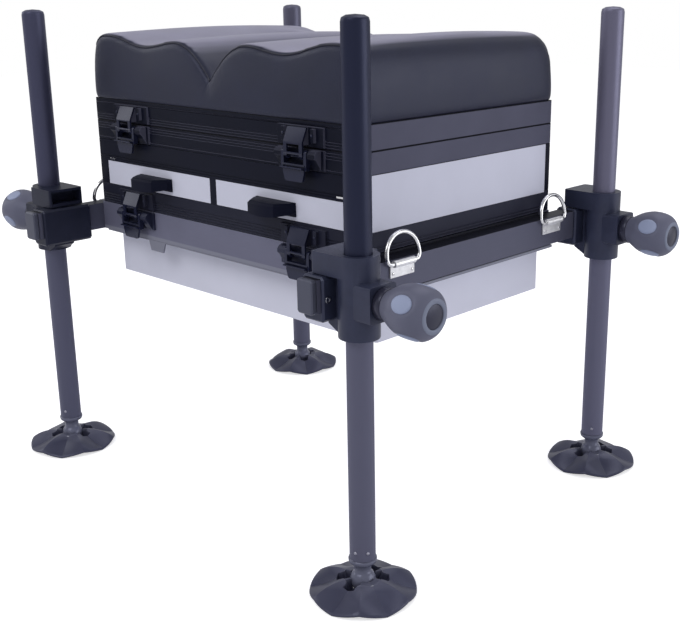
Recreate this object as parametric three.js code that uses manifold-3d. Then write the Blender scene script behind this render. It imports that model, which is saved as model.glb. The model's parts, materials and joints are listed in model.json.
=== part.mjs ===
// Fishing seat box: padded lid and tray over a two-drawer cassette, on a bar frame with four sliding legs.
// Millimetres, +Z up, front of the box towards -Y, origin on the ground under the centre of the box.

import * as THREE from "three";
import { mergeVertices } from "three/addons/utils/BufferGeometryUtils.js";
import Module from "manifold-3d";

const wasm = await Module();
wasm.setup();

// Driving dimensions of the whole
const boxWidth = 428;
const boxDepth = 305;
const undersideHeight = 221.5;
const seat = 0.3;
const overrun = 5;
const cornerRadius = 4;

// Bar frame and base box
const bar = { height: 33, sideHeight: 30.5, width: 19, crossDepth: 22.3, rearDepth: 19, wall: 2, proud: 4.5 };
const base = { drop: 55, wall: 1.5, cornerRadius: 3 };

// Layers of the box, from the bars up
const lowerFrame = { height: 22.7, wall: 12 };
const body = { height: 51.8, wall: 2, floor: 1.5, frontWall: 2, drawerMargin: 18.5, dividerWidth: 9.8 };
const shelf = { thickness: 1.5 };
const trayFrame = { height: 21.4, wall: 12 };
const lidFrame = { height: 24.9, wall: 12 };
const board = { thickness: 6, ledge: 6 };
const groove = { height: 1.2, depth: 0.8 };
const lidGrooveShares = [0.09, 0.2, 0.31, 0.84];
const trayGrooveShares = [0.14, 0.64, 0.77, 0.9];
const lowerGrooveShares = [0.1, 0.23, 0.36, 0.49];
const lowerSideGrooveShares = [0.1, 0.24];
const sidePanel = { thickness: 1, endMargin: 10.3, recess: 1.4, drop: 2 };
const grip = { height: 3.2, pitch: 2.6 };

// Drawers and their handles
const drawer = { frontThickness: 1.6, wall: 1.4, rearRoom: 43, height: 26.7, sideSlack: 1.2 };
const handle = {
  width: 58,
  frontWidth: 40,
  depth: 23,
  height: 14,
  wall: 2,
  topDrop: 8.6,
  backBevel: 6,
  topBevel: 2.4,
  bow: 2,
  endRise: 3,
};
const handleCurveSegments = 6;

// Cushion
const cushion = {
  underInset: 0.5,
  cornerRadius: 6,
  bulge: 2.5,
  crest: 70,
  innerCrest: 65,
  trough: 59,
  valley: 27,
  sideRadius: 30,
  frontRadius: 6,
  backRadius: 42,
  crownRise: 3,
};
// Places across the half width, from the middle, where the crests and the trough of the cushion lie
const crestShare = 0.27;
const troughShare = 0.53;
const outerShare = 0.84;
const valleyPower = 0.9;
const cushionFloorShare = 0.6;
const cushionDepthShares = [0, 0.012, 0.03, 0.12, 0.3, 0.5, 0.68, 0.8, 0.88, 0.94, 0.98, 1];
const cushionEdgeShare = 0.35;
const wallShares = [0.62, 0.25, 0];
const bulgeShares = [1, 0.7, 0];
const cushionColumns = 36;

// Hinges along the back
const hinge = { endInset: 34, leafThickness: 1.2, leafHeight: 13, knuckleRadius: 2.2, pinRadius: 1, setOut: 3.4 };
const hingeKnuckles = 5;
const pinSegments = 8;
const knuckleSegments = 10;

// Latches: each has a keeper above the joint line, a base below it, a lever and a claw
const latch = {
  endInset: 74,
  plateWidth: 64,
  plateThickness: 2.5,
  plateEdge: 1.2,
  baseHeight: 19.3,
  keeperHeight: 18.8,
  padWidth: 24,
  padBottom: 3,
  cheekInner: 18,
  cheekThickness: 10.5,
  cheekReach: 11,
  cheekChamfer: 3,
  earThickness: 4.5,
  earReach: 6,
  earBottom: 5.5,
  earTop: 18.6,
  pivotOut: 8,
  pivotDrop: 4.5,
  pivotPinRadius: 1.5,
  clawPinReach: 3.5,
  clawPinRadius: 1.3,
  hubRadius: 3.2,
  eyeRadius: 2.5,
  armInner: 13.8,
  armThickness: 3.7,
  clawHalfWidth: 13,
  clawLegWidth: 4.4,
  clawPlateOut: 10.1,
  clawPlateThickness: 2,
  clawBend: 5.8,
  clawTop: 19.2,
  clawLean: 6,
  clawBarRadius: 1.4,
  clawBarDrop: 5,
  clawFoot: 3,
  bodyTop: 14.9,
  bodyOut: 11.5,
  bodyInner: 7,
  ribReach: 0.8,
  ribHeight: 1.6,
  ribGroove: 0.9,
  lipReach: 15.6,
  lipHeight: 2.2,
  tabTop: 20.4,
  tabOut: 12,
  tabThickness: 2.2,
  tabBottom: 31.6,
  tabHalfTop: 14.6,
  tabHalfBottom: 12.4,
  lipHalfWidth: 15.4,
  runningGap: 0.3,
};
const clawPinAngle = THREE.MathUtils.degToRad(-80);

// Legs, clamp castings and knobs
const leg = { radius: 12.5, wall: 1.5, tubeLength: 487, capHeight: 6, outX: 42.7, outY: 44 };
const capRadiusShares = [0.93, 0.62];
const capRiseShares = [0.55, 0.88];
const block = {
  above: 38,
  below: 37.4,
  radius: 19,
  boreClearance: 0.3,
  sideGap: 2.5,
  longArm: 23.5,
  armCorner: 2.5,
  sleeveShort: 24,
  sleeveLong: 36,
  sleeveInner: 4,
  sleeveOuter: 2.9,
  sleeveRoof: 1.6,
  sleeveFloor: 8.7,
  sleeveBevel: 1.6,
  webShort: 8,
  webLong: 17,
  webInner: 31,
  chamferRun: 15,
  chamferRise: 8.3,
  bossReach: 29.3,
  bossWidth: 33,
  bossHeight: 33.4,
  bossRadius: 3,
  bossDrop: 1.3,
  studBore: 4.4,
  pocketDepth: 17,
  pocketWall: 3,
  pocketFloor: 4,
};
const barCap = { overlap: 0.5, reach: 6, bevel: 1.2, spigotLength: 12 };
const knob = {
  reach: 57.5,
  neck: 12.5,
  belly: 24.9,
  endRadius: 15.2,
  studRadius: 4,
  dish: 1,
  flatRadius: 13,
  flatDepth: 2.4,
};
const knobFlats = 4;
const knobFlatTurn = 60;
const knobFlatShare = 0.66;
const knobSides = 20;
const flatSides = 10;
// Profile of the knob: places along its reach, and how far from the neck or the end to the belly
const knobNeckPlaceShares = [0.1, 0.2, 0.38, 0.56];
const knobNeckRiseShares = [0.03, 0.26, 0.7, 0.93];
const knobBellyShare = 0.7;
const knobEndPlaceShares = [0.82, 0.91, 0.97];
const knobEndFallShares = [0.86, 0.6, 0.27];

// Feet
const foot = {
  height: 37,
  radius: 51,
  rimThickness: 2.2,
  hubHeight: 18.5,
  hubRadius: 20,
  socketRadius: 12.9,
  socketBottomRadius: 9.8,
  underside: 2.5,
  shellThickness: 3,
  ridgeRise: 4,
  ridgeRimLift: 3.4,
  ballRadius: 12.2,
  ballHeight: 13.7,
  neckRadius: 8,
  collarRadius: 13.5,
  collarDrop: 7,
  spigotLength: 18,
  screwRadius: 2,
  screwReach: 19.2,
  slotWidth: 10,
  slotFloor: 6.5,
};
const footRidges = 6;
const footSteps = 24;
const footMidShare = 0.45;
const footSlopeShare = 0.66;
const footWaveShare = 0.35;
const footHubDipShare = 0.4;
const socketHeightShare = 0.66;
const socketTaper = 0.7;
const collarTaperShare = 0.35;
const ballSteps = 6;
const studSides = 14;

// D-rings and their brackets, with places along the bars measured in from the front and back of the box
const ring = { wire: 1.9, halfBar: 17, halfWidth: 22.3, shoulder: 8, rise: 28.6, nearInset: 36.5, farInset: 24.5 };
const ringCornerShare = 0.4;
const ringArcSteps = 10;
const ringSides = 6;
const ringLean = THREE.MathUtils.degToRad(8);
const bracket = { width: 33, thickness: 1.5, drop: 13.5, axisDrop: 3.3, rollWidth: 28, rollWall: 1.2 };

// Heights of the layers above the ground
const halfWidth = boxWidth / 2;
const halfDepth = boxDepth / 2;
const barBottom = undersideHeight + base.drop;
const barTop = barBottom + bar.height;
const sideBarTop = barBottom + bar.sideHeight;
const sideBarMid = (barBottom + sideBarTop) / 2;
const lowerFrameBottom = barTop + seat;
const lowerFrameTop = lowerFrameBottom + lowerFrame.height;
const bodyBottom = lowerFrameTop + seat;
const bodyTop = bodyBottom + body.height;
const trayFrameBottom = bodyTop + seat;
const trayFrameTop = trayFrameBottom + trayFrame.height;
const lidFrameBottom = trayFrameTop + seat;
const lidFrameTop = lidFrameBottom + lidFrame.height;
const cushionBottom = lidFrameTop + seat;
const lidSplit = (trayFrameTop + lidFrameBottom) / 2;
const boxSplit = (barTop + lowerFrameBottom) / 2;
const drawerFrontBottom = bodyBottom + seat;
const drawerTop = drawerFrontBottom + drawer.height;
const bayTop = drawerTop + seat;
const latchX = halfWidth - latch.endInset;
const legX = halfWidth + leg.outX;
const legY = halfDepth + leg.outY;
const barInner = halfWidth + seat;
const barOuter = barInner + bar.width;

// Materials
const finish = (color, roughness, metalness) => new THREE.MeshStandardMaterial({ color, roughness, metalness });
const blackFrame = finish(0x35343d, 0.42, 0.5);
const silver = finish(0xb9b9c4, 0.4, 0.7);
const casting = finish(0x2e2f38, 0.5, 0.4);
const blackPlastic = finish(0x1d1d22, 0.35, 0);
const vinyl = finish(0x3a3944, 0.5, 0);
const timber = finish(0x24242a, 0.7, 0);
const tubeBlack = finish(0x3a3b46, 0.45, 0.5);
const nickel = finish(0xd8d8dc, 0.2, 1);
const softGrip = finish(0x45444d, 0.6, 0);

// Solids
function closed(geometry) {
  const bare = geometry.clone();
  bare.deleteAttribute("normal");
  bare.deleteAttribute("uv");
  const merged = mergeVertices(bare, 1e-4);
  const index = merged.index.array;
  const kept = [];
  for (let i = 0; i < index.length; i += 3) {
    const [a, b, c] = [index[i], index[i + 1], index[i + 2]];
    if (a !== b && b !== c && c !== a) {
      kept.push(a, b, c);
    }
  }
  merged.setIndex(kept);
  if (volumeOf(merged) < 0) {
    merged.setIndex(kept.reverse());
  }
  merged.computeVertexNormals();
  return merged;
}

function volumeOf(geometry) {
  const p = geometry.attributes.position;
  const index = geometry.index;
  let sum = 0;
  for (let i = 0; i < index.count; i += 3) {
    const [a, b, c] = [0, 1, 2].map((k) => new THREE.Vector3().fromBufferAttribute(p, index.getX(i + k)));
    sum += a.dot(b.cross(c)) / 6;
  }
  return sum;
}

function solidOf(geometry) {
  const merged = closed(geometry);
  const vertProperties = new Float32Array(merged.attributes.position.array);
  const triVerts = new Uint32Array(merged.index.array);
  return new wasm.Manifold(new wasm.Mesh({ numProp: 3, vertProperties, triVerts }));
}

function geometryOf(solid) {
  const mesh = solid.getMesh();
  const geometry = new THREE.BufferGeometry();
  geometry.setAttribute("position", new THREE.BufferAttribute(new Float32Array(mesh.vertProperties), 3));
  geometry.setIndex(new THREE.BufferAttribute(new Uint32Array(mesh.triVerts), 1));
  geometry.computeVertexNormals();
  return geometry;
}

function joined(...solids) {
  return solids.reduce((sum, next) => sum.add(next));
}

function cut(solid, ...tools) {
  return tools.reduce((rest, next) => rest.subtract(next), solid);
}

function boxSolid(x0, x1, y0, y1, z0, z1) {
  const geometry = new THREE.BoxGeometry(x1 - x0, y1 - y0, z1 - z0);
  geometry.translate((x0 + x1) / 2, (y0 + y1) / 2, (z0 + z1) / 2);
  return solidOf(geometry);
}

function roundedShape(width, depth, radius, steps = 2) {
  const shape = new THREE.Shape();
  const corners = [
    [1, 1, 0],
    [-1, 1, Math.PI / 2],
    [-1, -1, Math.PI],
    [1, -1, Math.PI * 1.5],
  ];
  const points = [];
  for (const [sx, sy, start] of corners) {
    for (let i = 0; i <= steps; i++) {
      const angle = start + (Math.PI / 2) * (i / steps);
      const x = sx * (width / 2 - radius) + radius * Math.cos(angle);
      const y = sy * (depth / 2 - radius) + radius * Math.sin(angle);
      points.push(new THREE.Vector2(x, y));
    }
  }
  shape.setFromPoints(points);
  return shape;
}

function prism(shape, height, curveSegments = 8) {
  return new THREE.ExtrudeGeometry(shape, { depth: height, bevelEnabled: false, curveSegments });
}

// A flat box with rounded upright corners, standing on height z0
function slab(width, depth, radius, z0, z1) {
  const geometry = prism(roundedShape(width, depth, radius), z1 - z0);
  geometry.translate(0, 0, z0);
  return solidOf(geometry);
}

// A shape drawn with out as x and up as y, extruded along the front of the box from x0 to x1.
// Out is measured forward from the front face, up from a joint line.
function frontProfile(shape, x0, x1, up) {
  const geometry = prism(shape, x1 - x0);
  const place = new THREE.Matrix4().makeBasis(
    new THREE.Vector3(0, -1, 0),
    new THREE.Vector3(0, 0, 1),
    new THREE.Vector3(-1, 0, 0),
  );
  geometry.applyMatrix4(place);
  geometry.translate(x1, -halfDepth, up);
  return solidOf(geometry);
}

function frontBlock(x0, x1, out0, out1, up0, up1, up) {
  return boxSolid(x0, x1, -halfDepth - out1, -halfDepth - out0, up + up0, up + up1);
}

function rod(radius, from, to, segments = 16) {
  const axis = new THREE.Vector3().subVectors(to, from);
  const geometry = new THREE.CylinderGeometry(radius, radius, axis.length(), segments);
  const turn = new THREE.Quaternion().setFromUnitVectors(new THREE.Vector3(0, 1, 0), axis.clone().normalize());
  geometry.applyQuaternion(turn);
  geometry.translate((from.x + to.x) / 2, (from.y + to.y) / 2, (from.z + to.z) / 2);
  return solidOf(geometry);
}

function turned(points, segments) {
  const profile = points.map(([r, z]) => new THREE.Vector2(r, z));
  const geometry = new THREE.LatheGeometry(profile, segments);
  geometry.rotateX(Math.PI / 2);
  return geometry;
}

function at(x, y, z) {
  return new THREE.Vector3(x, y, z);
}

function piece(name, geometry, material, x = 0, y = 0, z = 0, turn = 0) {
  const mesh = new THREE.Mesh(geometry, material);
  mesh.name = name;
  mesh.position.set(x, y, z);
  mesh.rotation.z = turn;
  return mesh;
}

// Ribbed frames. Grooves run along the front and back faces, or along the two sides.
function frontGrooves(z) {
  const reachX = halfWidth + overrun;
  const near = halfDepth - groove.depth;
  const far = halfDepth + overrun;
  const z0 = z - groove.height / 2;
  const z1 = z + groove.height / 2;
  return [boxSolid(-reachX, reachX, -far, -near, z0, z1), boxSolid(-reachX, reachX, near, far, z0, z1)];
}

function sideGrooves(z) {
  const reachY = halfDepth + overrun;
  const near = halfWidth - groove.depth;
  const far = halfWidth + overrun;
  const z0 = z - groove.height / 2;
  const z1 = z + groove.height / 2;
  return [boxSolid(-far, -near, -reachY, reachY, z0, z1), boxSolid(near, far, -reachY, reachY, z0, z1)];
}

function ribbedFrame(z0, height, wall, frontShares, sideShares = []) {
  const outer = slab(boxWidth, boxDepth, cornerRadius, z0, z0 + height);
  const inner = slab(boxWidth - 2 * wall, boxDepth - 2 * wall, cornerRadius, z0 - overrun, z0 + height + overrun);
  const front = frontShares.flatMap((share) => frontGrooves(z0 + height * share));
  const sides = sideShares.flatMap((share) => sideGrooves(z0 + height * share));
  return cut(outer, inner, ...front, ...sides);
}

// Latch pieces, all placed by the middle x of the latch and the joint line that it closes
const latchPivot = { out: latch.pivotOut, up: -latch.pivotDrop };
const latchClawPin = {
  out: latch.pivotOut - latch.clawPinReach * Math.cos(clawPinAngle),
  up: -latch.pivotDrop + latch.clawPinReach * Math.sin(clawPinAngle),
};

function crossRod(radius, x0, x1, where, line, segments = 8) {
  const y = -halfDepth - where.out;
  return rod(radius, at(x0, y, line + where.up), at(x1, y, line + where.up), segments);
}

function latchKeeper(x, line) {
  const half = latch.plateWidth / 2;
  const top = latch.plateEdge + latch.keeperHeight;
  const padOut = latch.clawPlateOut - seat;
  const plate = frontBlock(x - half, x + half, -latch.plateEdge, latch.plateThickness, latch.plateEdge, top, line);
  const shape = new THREE.Shape();
  shape.moveTo(0, latch.padBottom);
  shape.lineTo(padOut, latch.padBottom);
  shape.lineTo(padOut, latch.clawBend - seat);
  shape.lineTo(padOut - latch.clawLean, latch.clawTop - seat);
  shape.lineTo(0, latch.clawTop - seat);
  const pad = frontProfile(shape, x - latch.padWidth / 2, x + latch.padWidth / 2, line);
  const ears = [-1, 1].map((side) => {
    const inner = side * latch.cheekInner;
    const outer = side * (latch.cheekInner + latch.earThickness);
    const [x0, x1] = [x + Math.min(inner, outer), x + Math.max(inner, outer)];
    return frontBlock(x0, x1, 0, latch.earReach, latch.earBottom, latch.earTop, line);
  });
  return joined(plate, pad, ...ears);
}

function latchBase(x, line) {
  const half = latch.plateWidth / 2;
  const bottom = -latch.plateEdge - latch.baseHeight;
  const plate = frontBlock(x - half, x + half, -latch.plateEdge, latch.plateThickness, bottom, -latch.plateEdge, line);
  const shape = new THREE.Shape();
  shape.moveTo(0, bottom);
  shape.lineTo(latch.plateThickness, bottom);
  shape.lineTo(latch.cheekReach - latch.cheekChamfer, latchPivot.up - latch.hubRadius - latch.cheekChamfer);
  shape.lineTo(latch.cheekReach, latchPivot.up - latch.hubRadius);
  shape.lineTo(latch.cheekReach, latchPivot.up);
  shape.lineTo(latch.pivotOut, -latch.plateEdge);
  shape.lineTo(0, -latch.plateEdge);
  const parts = [-1, 1].flatMap((side) => {
    const inner = side * latch.cheekInner;
    const outer = side * (latch.cheekInner + latch.cheekThickness);
    const cheek = frontProfile(shape, x + Math.min(inner, outer), x + Math.max(inner, outer), line);
    const tip = side * (latch.armInner - latch.runningGap);
    const [x0, x1] = [x + Math.min(tip, outer), x + Math.max(tip, outer)];
    return [cheek, crossRod(latch.pivotPinRadius, x0, x1, latchPivot, line)];
  });
  return joined(plate, ...parts);
}

// Lever: two arms on the pivot, a ribbed body between them and a finger tab that tapers downwards
function latchLever(x, line) {
  const armOuter = latch.armInner + latch.armThickness;
  const { bodyTop, bodyOut, bodyInner, ribReach, ribHeight, ribGroove, lipReach, lipHeight, tabTop } = latch;
  const arm = new THREE.Shape();
  arm.absarc(latchPivot.out, latchPivot.up, latch.hubRadius, Math.PI, 0, true);
  arm.lineTo(bodyOut, -bodyTop);
  arm.lineTo(bodyOut, -tabTop);
  arm.lineTo(bodyInner, -tabTop);
  arm.lineTo(latchClawPin.out - latch.eyeRadius, latchClawPin.up - latch.eyeRadius);
  arm.lineTo(latchClawPin.out - latch.eyeRadius, latchClawPin.up);
  const arms = [-1, 1].map((side) => {
    const x0 = x + Math.min(side * latch.armInner, side * armOuter);
    const solid = frontProfile(arm, x0, x0 + latch.armThickness, line);
    const bore = latch.pivotPinRadius + latch.runningGap;
    return solid.subtract(crossRod(bore, x0 - overrun, x0 + latch.armThickness + overrun, latchPivot, line));
  });
  const rib = new THREE.Shape();
  rib.moveTo(bodyInner, -tabTop);
  rib.lineTo(bodyInner, -bodyTop);
  rib.lineTo(bodyOut, -bodyTop);
  rib.lineTo(bodyOut + ribReach, -bodyTop - ribReach);
  rib.lineTo(bodyOut + ribReach, -bodyTop - ribHeight);
  rib.lineTo(bodyOut - ribGroove, -bodyTop - ribHeight);
  rib.lineTo(bodyOut - ribGroove, -bodyTop - ribHeight - ribGroove);
  rib.lineTo(lipReach, -bodyTop - ribHeight - ribGroove);
  rib.lineTo(lipReach, -bodyTop - ribHeight - lipHeight);
  rib.lineTo(bodyOut, -tabTop);
  const core = frontProfile(rib, x - latch.lipHalfWidth, x + latch.lipHalfWidth, line);
  const pin = crossRod(latch.clawPinRadius, x - armOuter, x + armOuter, latchClawPin, line);
  return joined(core, pin, leverTab(x, line), ...arms);
}

// Finger tab of a lever, with its wide end under the lip
function leverTab(x, line) {
  const { tabTop, tabBottom, tabHalfTop, tabHalfBottom, tabOut, tabThickness, lipHeight } = latch;
  const shape = new THREE.Shape();
  shape.moveTo(-tabHalfTop, lipHeight - tabTop);
  shape.lineTo(-tabHalfTop, -tabTop - tabThickness);
  shape.lineTo(-tabHalfBottom, -tabBottom + tabThickness / 2);
  shape.lineTo(-tabHalfBottom + tabThickness, -tabBottom);
  shape.lineTo(tabHalfBottom - tabThickness, -tabBottom);
  shape.lineTo(tabHalfBottom, -tabBottom + tabThickness / 2);
  shape.lineTo(tabHalfTop, -tabTop - tabThickness);
  shape.lineTo(tabHalfTop, lipHeight - tabTop);
  const geometry = prism(shape, tabThickness);
  geometry.rotateX(Math.PI / 2);
  geometry.translate(x, -halfDepth - tabOut + tabThickness, line);
  return solidOf(geometry);
}

// Claw: two legs on the lever's pin, a cross bar between them and a plate that leans back over the pad
function latchClaw(x, line) {
  const out0 = latch.clawPlateOut;
  const out1 = latch.clawPlateOut + latch.clawPlateThickness;
  const pin = latchClawPin;
  const shape = new THREE.Shape();
  shape.absarc(pin.out, pin.up, latch.eyeRadius, Math.PI / 2, Math.PI * 1.5, false);
  shape.lineTo(out1 - latch.clawFoot, pin.up - latch.eyeRadius);
  shape.lineTo(out1, pin.up - latch.eyeRadius + latch.clawFoot);
  shape.lineTo(out1, latch.clawBend);
  shape.lineTo(out0, latch.clawBend);
  shape.lineTo(out0, pin.up + latch.eyeRadius);
  const legs = [-1, 1].map((side) => {
    const inner = side * (latch.clawHalfWidth - latch.clawLegWidth);
    const outer = side * latch.clawHalfWidth;
    const x0 = x + Math.min(inner, outer);
    const solid = frontProfile(shape, x0, x0 + latch.clawLegWidth, line);
    const bore = latch.clawPinRadius + latch.runningGap;
    return solid.subtract(crossRod(bore, x0 - overrun, x0 + latch.clawLegWidth + overrun, pin, line));
  });
  const plate = new THREE.Shape();
  plate.moveTo(out0, latch.clawBend - latch.clawPlateThickness);
  plate.lineTo(out1, latch.clawBend - latch.clawPlateThickness);
  plate.lineTo(out1, latch.clawBend);
  plate.lineTo(out1 - latch.clawLean, latch.clawTop);
  plate.lineTo(out0 - latch.clawLean, latch.clawTop);
  plate.lineTo(out0, latch.clawBend);
  const solid = frontProfile(plate, x - latch.clawHalfWidth, x + latch.clawHalfWidth, line);
  const barPlace = { out: out0 + latch.clawPlateThickness / 2, up: -latch.clawBarDrop };
  const crossPiece = crossRod(latch.clawBarRadius, x - latch.clawHalfWidth, x + latch.clawHalfWidth, barPlace, line);
  return joined(solid, crossPiece, ...legs);
}

// A plate that faces away from y = 0 towards -Y, with bevelled edges on its far side
function facePlate(width, height, bevel, reach) {
  const shape = roundedShape(width - 2 * bevel, height - 2 * bevel, bevel, 1);
  const options = {
    depth: reach - 2 * bevel,
    bevelEnabled: true,
    bevelThickness: bevel,
    bevelSize: bevel,
    bevelSegments: 1,
    curveSegments: 1,
  };
  const geometry = new THREE.ExtrudeGeometry(shape, options);
  geometry.translate(0, 0, bevel);
  geometry.rotateX(Math.PI / 2);
  return solidOf(geometry);
}

// Frame of bars. The sleeves of the castings reach further on one side of each leg,
// and every bar stands a little proud of its sleeves.
const barEnds = { short: legY + block.sleeveShort + bar.proud, long: legY + block.sleeveLong + bar.proud };

function capPlate() {
  const width = bar.width + 2 * barCap.overlap;
  const height = bar.sideHeight + 2 * barCap.overlap;
  return facePlate(width, height, barCap.bevel, barCap.reach);
}

// Loose cap for an open bar end, drawn about the middle of the end
function barEndCap() {
  const inner = 2 * (bar.wall + seat);
  const halfX = (bar.width - inner) / 2;
  const halfZ = (bar.sideHeight - inner) / 2;
  const spigot = boxSolid(-halfX, halfX, -seat - barCap.bevel, barCap.spigotLength, -halfZ, halfZ);
  return geometryOf(joined(capPlate().translate(0, -seat, 0), spigot));
}

// Side bar about its own middle line, open at the front and closed by its own cap at the back
function sideBar(frontY, rearY) {
  const halfX = bar.width / 2;
  const halfZ = bar.sideHeight / 2;
  const rear = rearY + seat;
  const outer = boxSolid(-halfX, halfX, frontY, rear + barCap.bevel, -halfZ, halfZ);
  const inner = boxSolid(
    -halfX + bar.wall,
    halfX - bar.wall,
    frontY - overrun,
    rear - bar.wall,
    -halfZ + bar.wall,
    halfZ - bar.wall,
  );
  return geometryOf(joined(cut(outer, inner), capPlate().rotate([0, 0, 180]).translate(0, rear, 0)));
}

// Bar across the front, open at its ends. The bar across the back is the same with another depth.
function crossBar(depth) {
  const y0 = -halfDepth;
  const y1 = -halfDepth + depth;
  return cut(
    boxSolid(-halfWidth, halfWidth, y0, y1, barBottom, barTop),
    boxSolid(
      -halfWidth - overrun,
      halfWidth + overrun,
      y0 + bar.wall,
      y1 - bar.wall,
      barBottom + bar.wall,
      barTop - bar.wall,
    ),
  );
}

function baseBox() {
  const near = -halfDepth + bar.crossDepth + seat;
  const far = halfDepth - bar.rearDepth - seat;
  const depth = far - near;
  const radius = base.cornerRadius;
  const top = barTop - seat;
  const outer = slab(boxWidth, depth, radius, undersideHeight, top);
  const inner = slab(boxWidth - 2 * base.wall, depth - 2 * base.wall, radius, undersideHeight + base.wall, barTop);
  return outer.subtract(inner).translate(0, (near + far) / 2, 0);
}

// Clamp casting, drawn about the leg axis with the middle of the side bars at height zero,
// for a leg on the right: +x points away from the box
function legBlock() {
  const top = block.above;
  const bottom = -block.below;
  const barHalf = bar.sideHeight / 2;
  const barIn = -(leg.outX - seat);
  const barOut = barIn + bar.width;
  const sleeveOut = barOut + seat + block.sleeveOuter;
  const sleeveTop = barHalf + seat + block.sleeveRoof;
  const armIn = -(leg.outX - block.sideGap);
  const barrel = rod(block.radius, at(0, 0, bottom), at(0, 0, top), 24);
  const armBottom = barHalf + bar.height - bar.sideHeight + seat;
  const whole = joined(barrel, blockArm(armIn, armBottom), blockSleeve(barIn, barOut), blockWeb(sleeveOut, sleeveTop));
  const bossGeometry = prism(roundedShape(block.bossWidth, block.bossHeight, block.bossRadius), block.bossReach);
  bossGeometry.rotateZ(Math.PI / 2);
  bossGeometry.rotateY(Math.PI / 2);
  bossGeometry.translate(0, 0, -block.bossDrop);
  const barHole = boxSolid(
    barIn - seat,
    barOut + seat,
    -block.sleeveShort - overrun,
    block.sleeveLong + overrun,
    -barHalf - seat,
    barHalf + seat,
  );
  const legBore = rod(
    leg.radius + block.boreClearance,
    at(0, 0, bottom - overrun),
    at(0, 0, top + overrun),
    24,
  );
  const bossZ = -block.bossDrop;
  const studBore = rod(block.studBore, at(0, 0, bossZ), at(block.bossReach + overrun, 0, bossZ), 12);
  const pocket = boxSolid(
    armIn - overrun,
    armIn + block.pocketDepth,
    -block.radius + block.pocketWall,
    block.longArm - block.pocketWall,
    armBottom + block.pocketFloor,
    top - block.pocketWall,
  );
  return geometryOf(cut(joined(whole, solidOf(bossGeometry)), barHole, legBore, studBore, pocket));
}

// Arm of the casting over the bar, flush with the barrel on the short side
function blockArm(armIn, armBottom) {
  const r = block.armCorner;
  const shape = new THREE.Shape();
  shape.moveTo(0, -block.radius);
  shape.lineTo(armIn + r, -block.radius);
  shape.quadraticCurveTo(armIn, -block.radius, armIn, -block.radius + r);
  shape.lineTo(armIn, block.longArm - r);
  shape.quadraticCurveTo(armIn, block.longArm, armIn + r, block.longArm);
  shape.lineTo(0, block.longArm);
  const geometry = prism(shape, block.above - armBottom, 2);
  geometry.translate(0, 0, armBottom);
  return solidOf(geometry);
}

// Sleeve of the casting round the bar, with its outer edges bevelled
function blockSleeve(barIn, barOut) {
  const barHalf = bar.sideHeight / 2;
  const sleeveIn = barIn - seat - block.sleeveInner;
  const sleeveOut = barOut + seat + block.sleeveOuter;
  const sleeveTop = barHalf + seat + block.sleeveRoof;
  const sleeveBottom = -barHalf - seat - block.sleeveFloor;
  const length = block.sleeveShort + block.sleeveLong;
  const body = facePlate(sleeveOut - sleeveIn, sleeveTop - sleeveBottom, block.sleeveBevel, length);
  return body.translate((sleeveIn + sleeveOut) / 2, block.sleeveLong, (sleeveTop + sleeveBottom) / 2);
}

// Web of the casting between sleeve and barrel, chamfered underneath on the side of the box
function blockWeb(sleeveOut, sleeveTop) {
  const bottom = -block.below;
  const barHalf = bar.sideHeight / 2;
  const sleeveBottom = -barHalf - seat - block.sleeveFloor;
  const shape = new THREE.Shape();
  shape.moveTo(-block.webInner, sleeveBottom + block.sleeveBevel);
  shape.lineTo(-block.webInner, bottom + block.chamferRise);
  shape.lineTo(-block.webInner + block.chamferRun, bottom);
  shape.lineTo(0, bottom);
  shape.lineTo(0, sleeveTop);
  shape.lineTo(sleeveOut - block.sleeveBevel, sleeveTop);
  shape.lineTo(sleeveOut - block.sleeveBevel, sleeveBottom + block.sleeveBevel);
  const geometry = prism(shape, block.webShort + block.webLong);
  geometry.rotateX(Math.PI / 2);
  geometry.translate(0, block.webLong, 0);
  return solidOf(geometry);
}

// Clamp knob, drawn along +x from the boss face, with its stud towards the leg and shallow flats round it
function clampKnob() {
  const start = seat;
  const span = knob.reach;
  const rise = (share) => THREE.MathUtils.lerp(knob.neck, knob.belly, share);
  const fall = (share) => THREE.MathUtils.lerp(knob.endRadius, knob.belly, share);
  const profile = [
    [0, start],
    [knob.neck, start],
    ...knobNeckPlaceShares.map((share, i) => [rise(knobNeckRiseShares[i]), start + span * share]),
    [knob.belly, start + span * knobBellyShare],
    ...knobEndPlaceShares.map((share, i) => [fall(knobEndFallShares[i]), start + span * share]),
    [knob.endRadius, start + span],
    [knob.endRadius - knob.dish, start + span],
    [knob.endRadius - 2 * knob.dish, start + span - knob.dish],
    [0, start + span - knob.dish],
  ];
  const headGeometry = turned(profile, knobSides);
  headGeometry.rotateY(Math.PI / 2);
  const flats = [];
  for (let k = 0; k < knobFlats; k++) {
    const flat = rod(knob.flatRadius, at(0, 0, knob.belly - knob.flatDepth), at(0, 0, knob.belly + overrun), flatSides);
    const angle = knobFlatTurn + (360 * k) / knobFlats;
    flats.push(flat.rotate([angle, 0, 0]).translate(start + span * knobFlatShare, 0, 0));
  }
  const head = cut(solidOf(headGeometry), ...flats).translate(block.bossReach, 0, 0);
  const studFrom = leg.radius + seat;
  const stud = rod(knob.studRadius, at(studFrom, 0, 0), at(block.bossReach + span / 2, 0, 0), 10);
  return geometryOf(joined(head, stud));
}

// Leg tube with its domed cap, open at the bottom for the foot's plug
function legTube() {
  const top = foot.height + leg.tubeLength;
  const r = leg.radius;
  const inner = r - leg.wall;
  const profile = [
    [0, top],
    [inner, top - leg.wall],
    [inner, foot.height],
    [r, foot.height],
    [r, top],
    ...capRadiusShares.map((share, i) => [r * share, top + leg.capHeight * capRiseShares[i]]),
    [0, top + leg.capHeight],
  ];
  return closed(turned(profile, 20));
}

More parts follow.
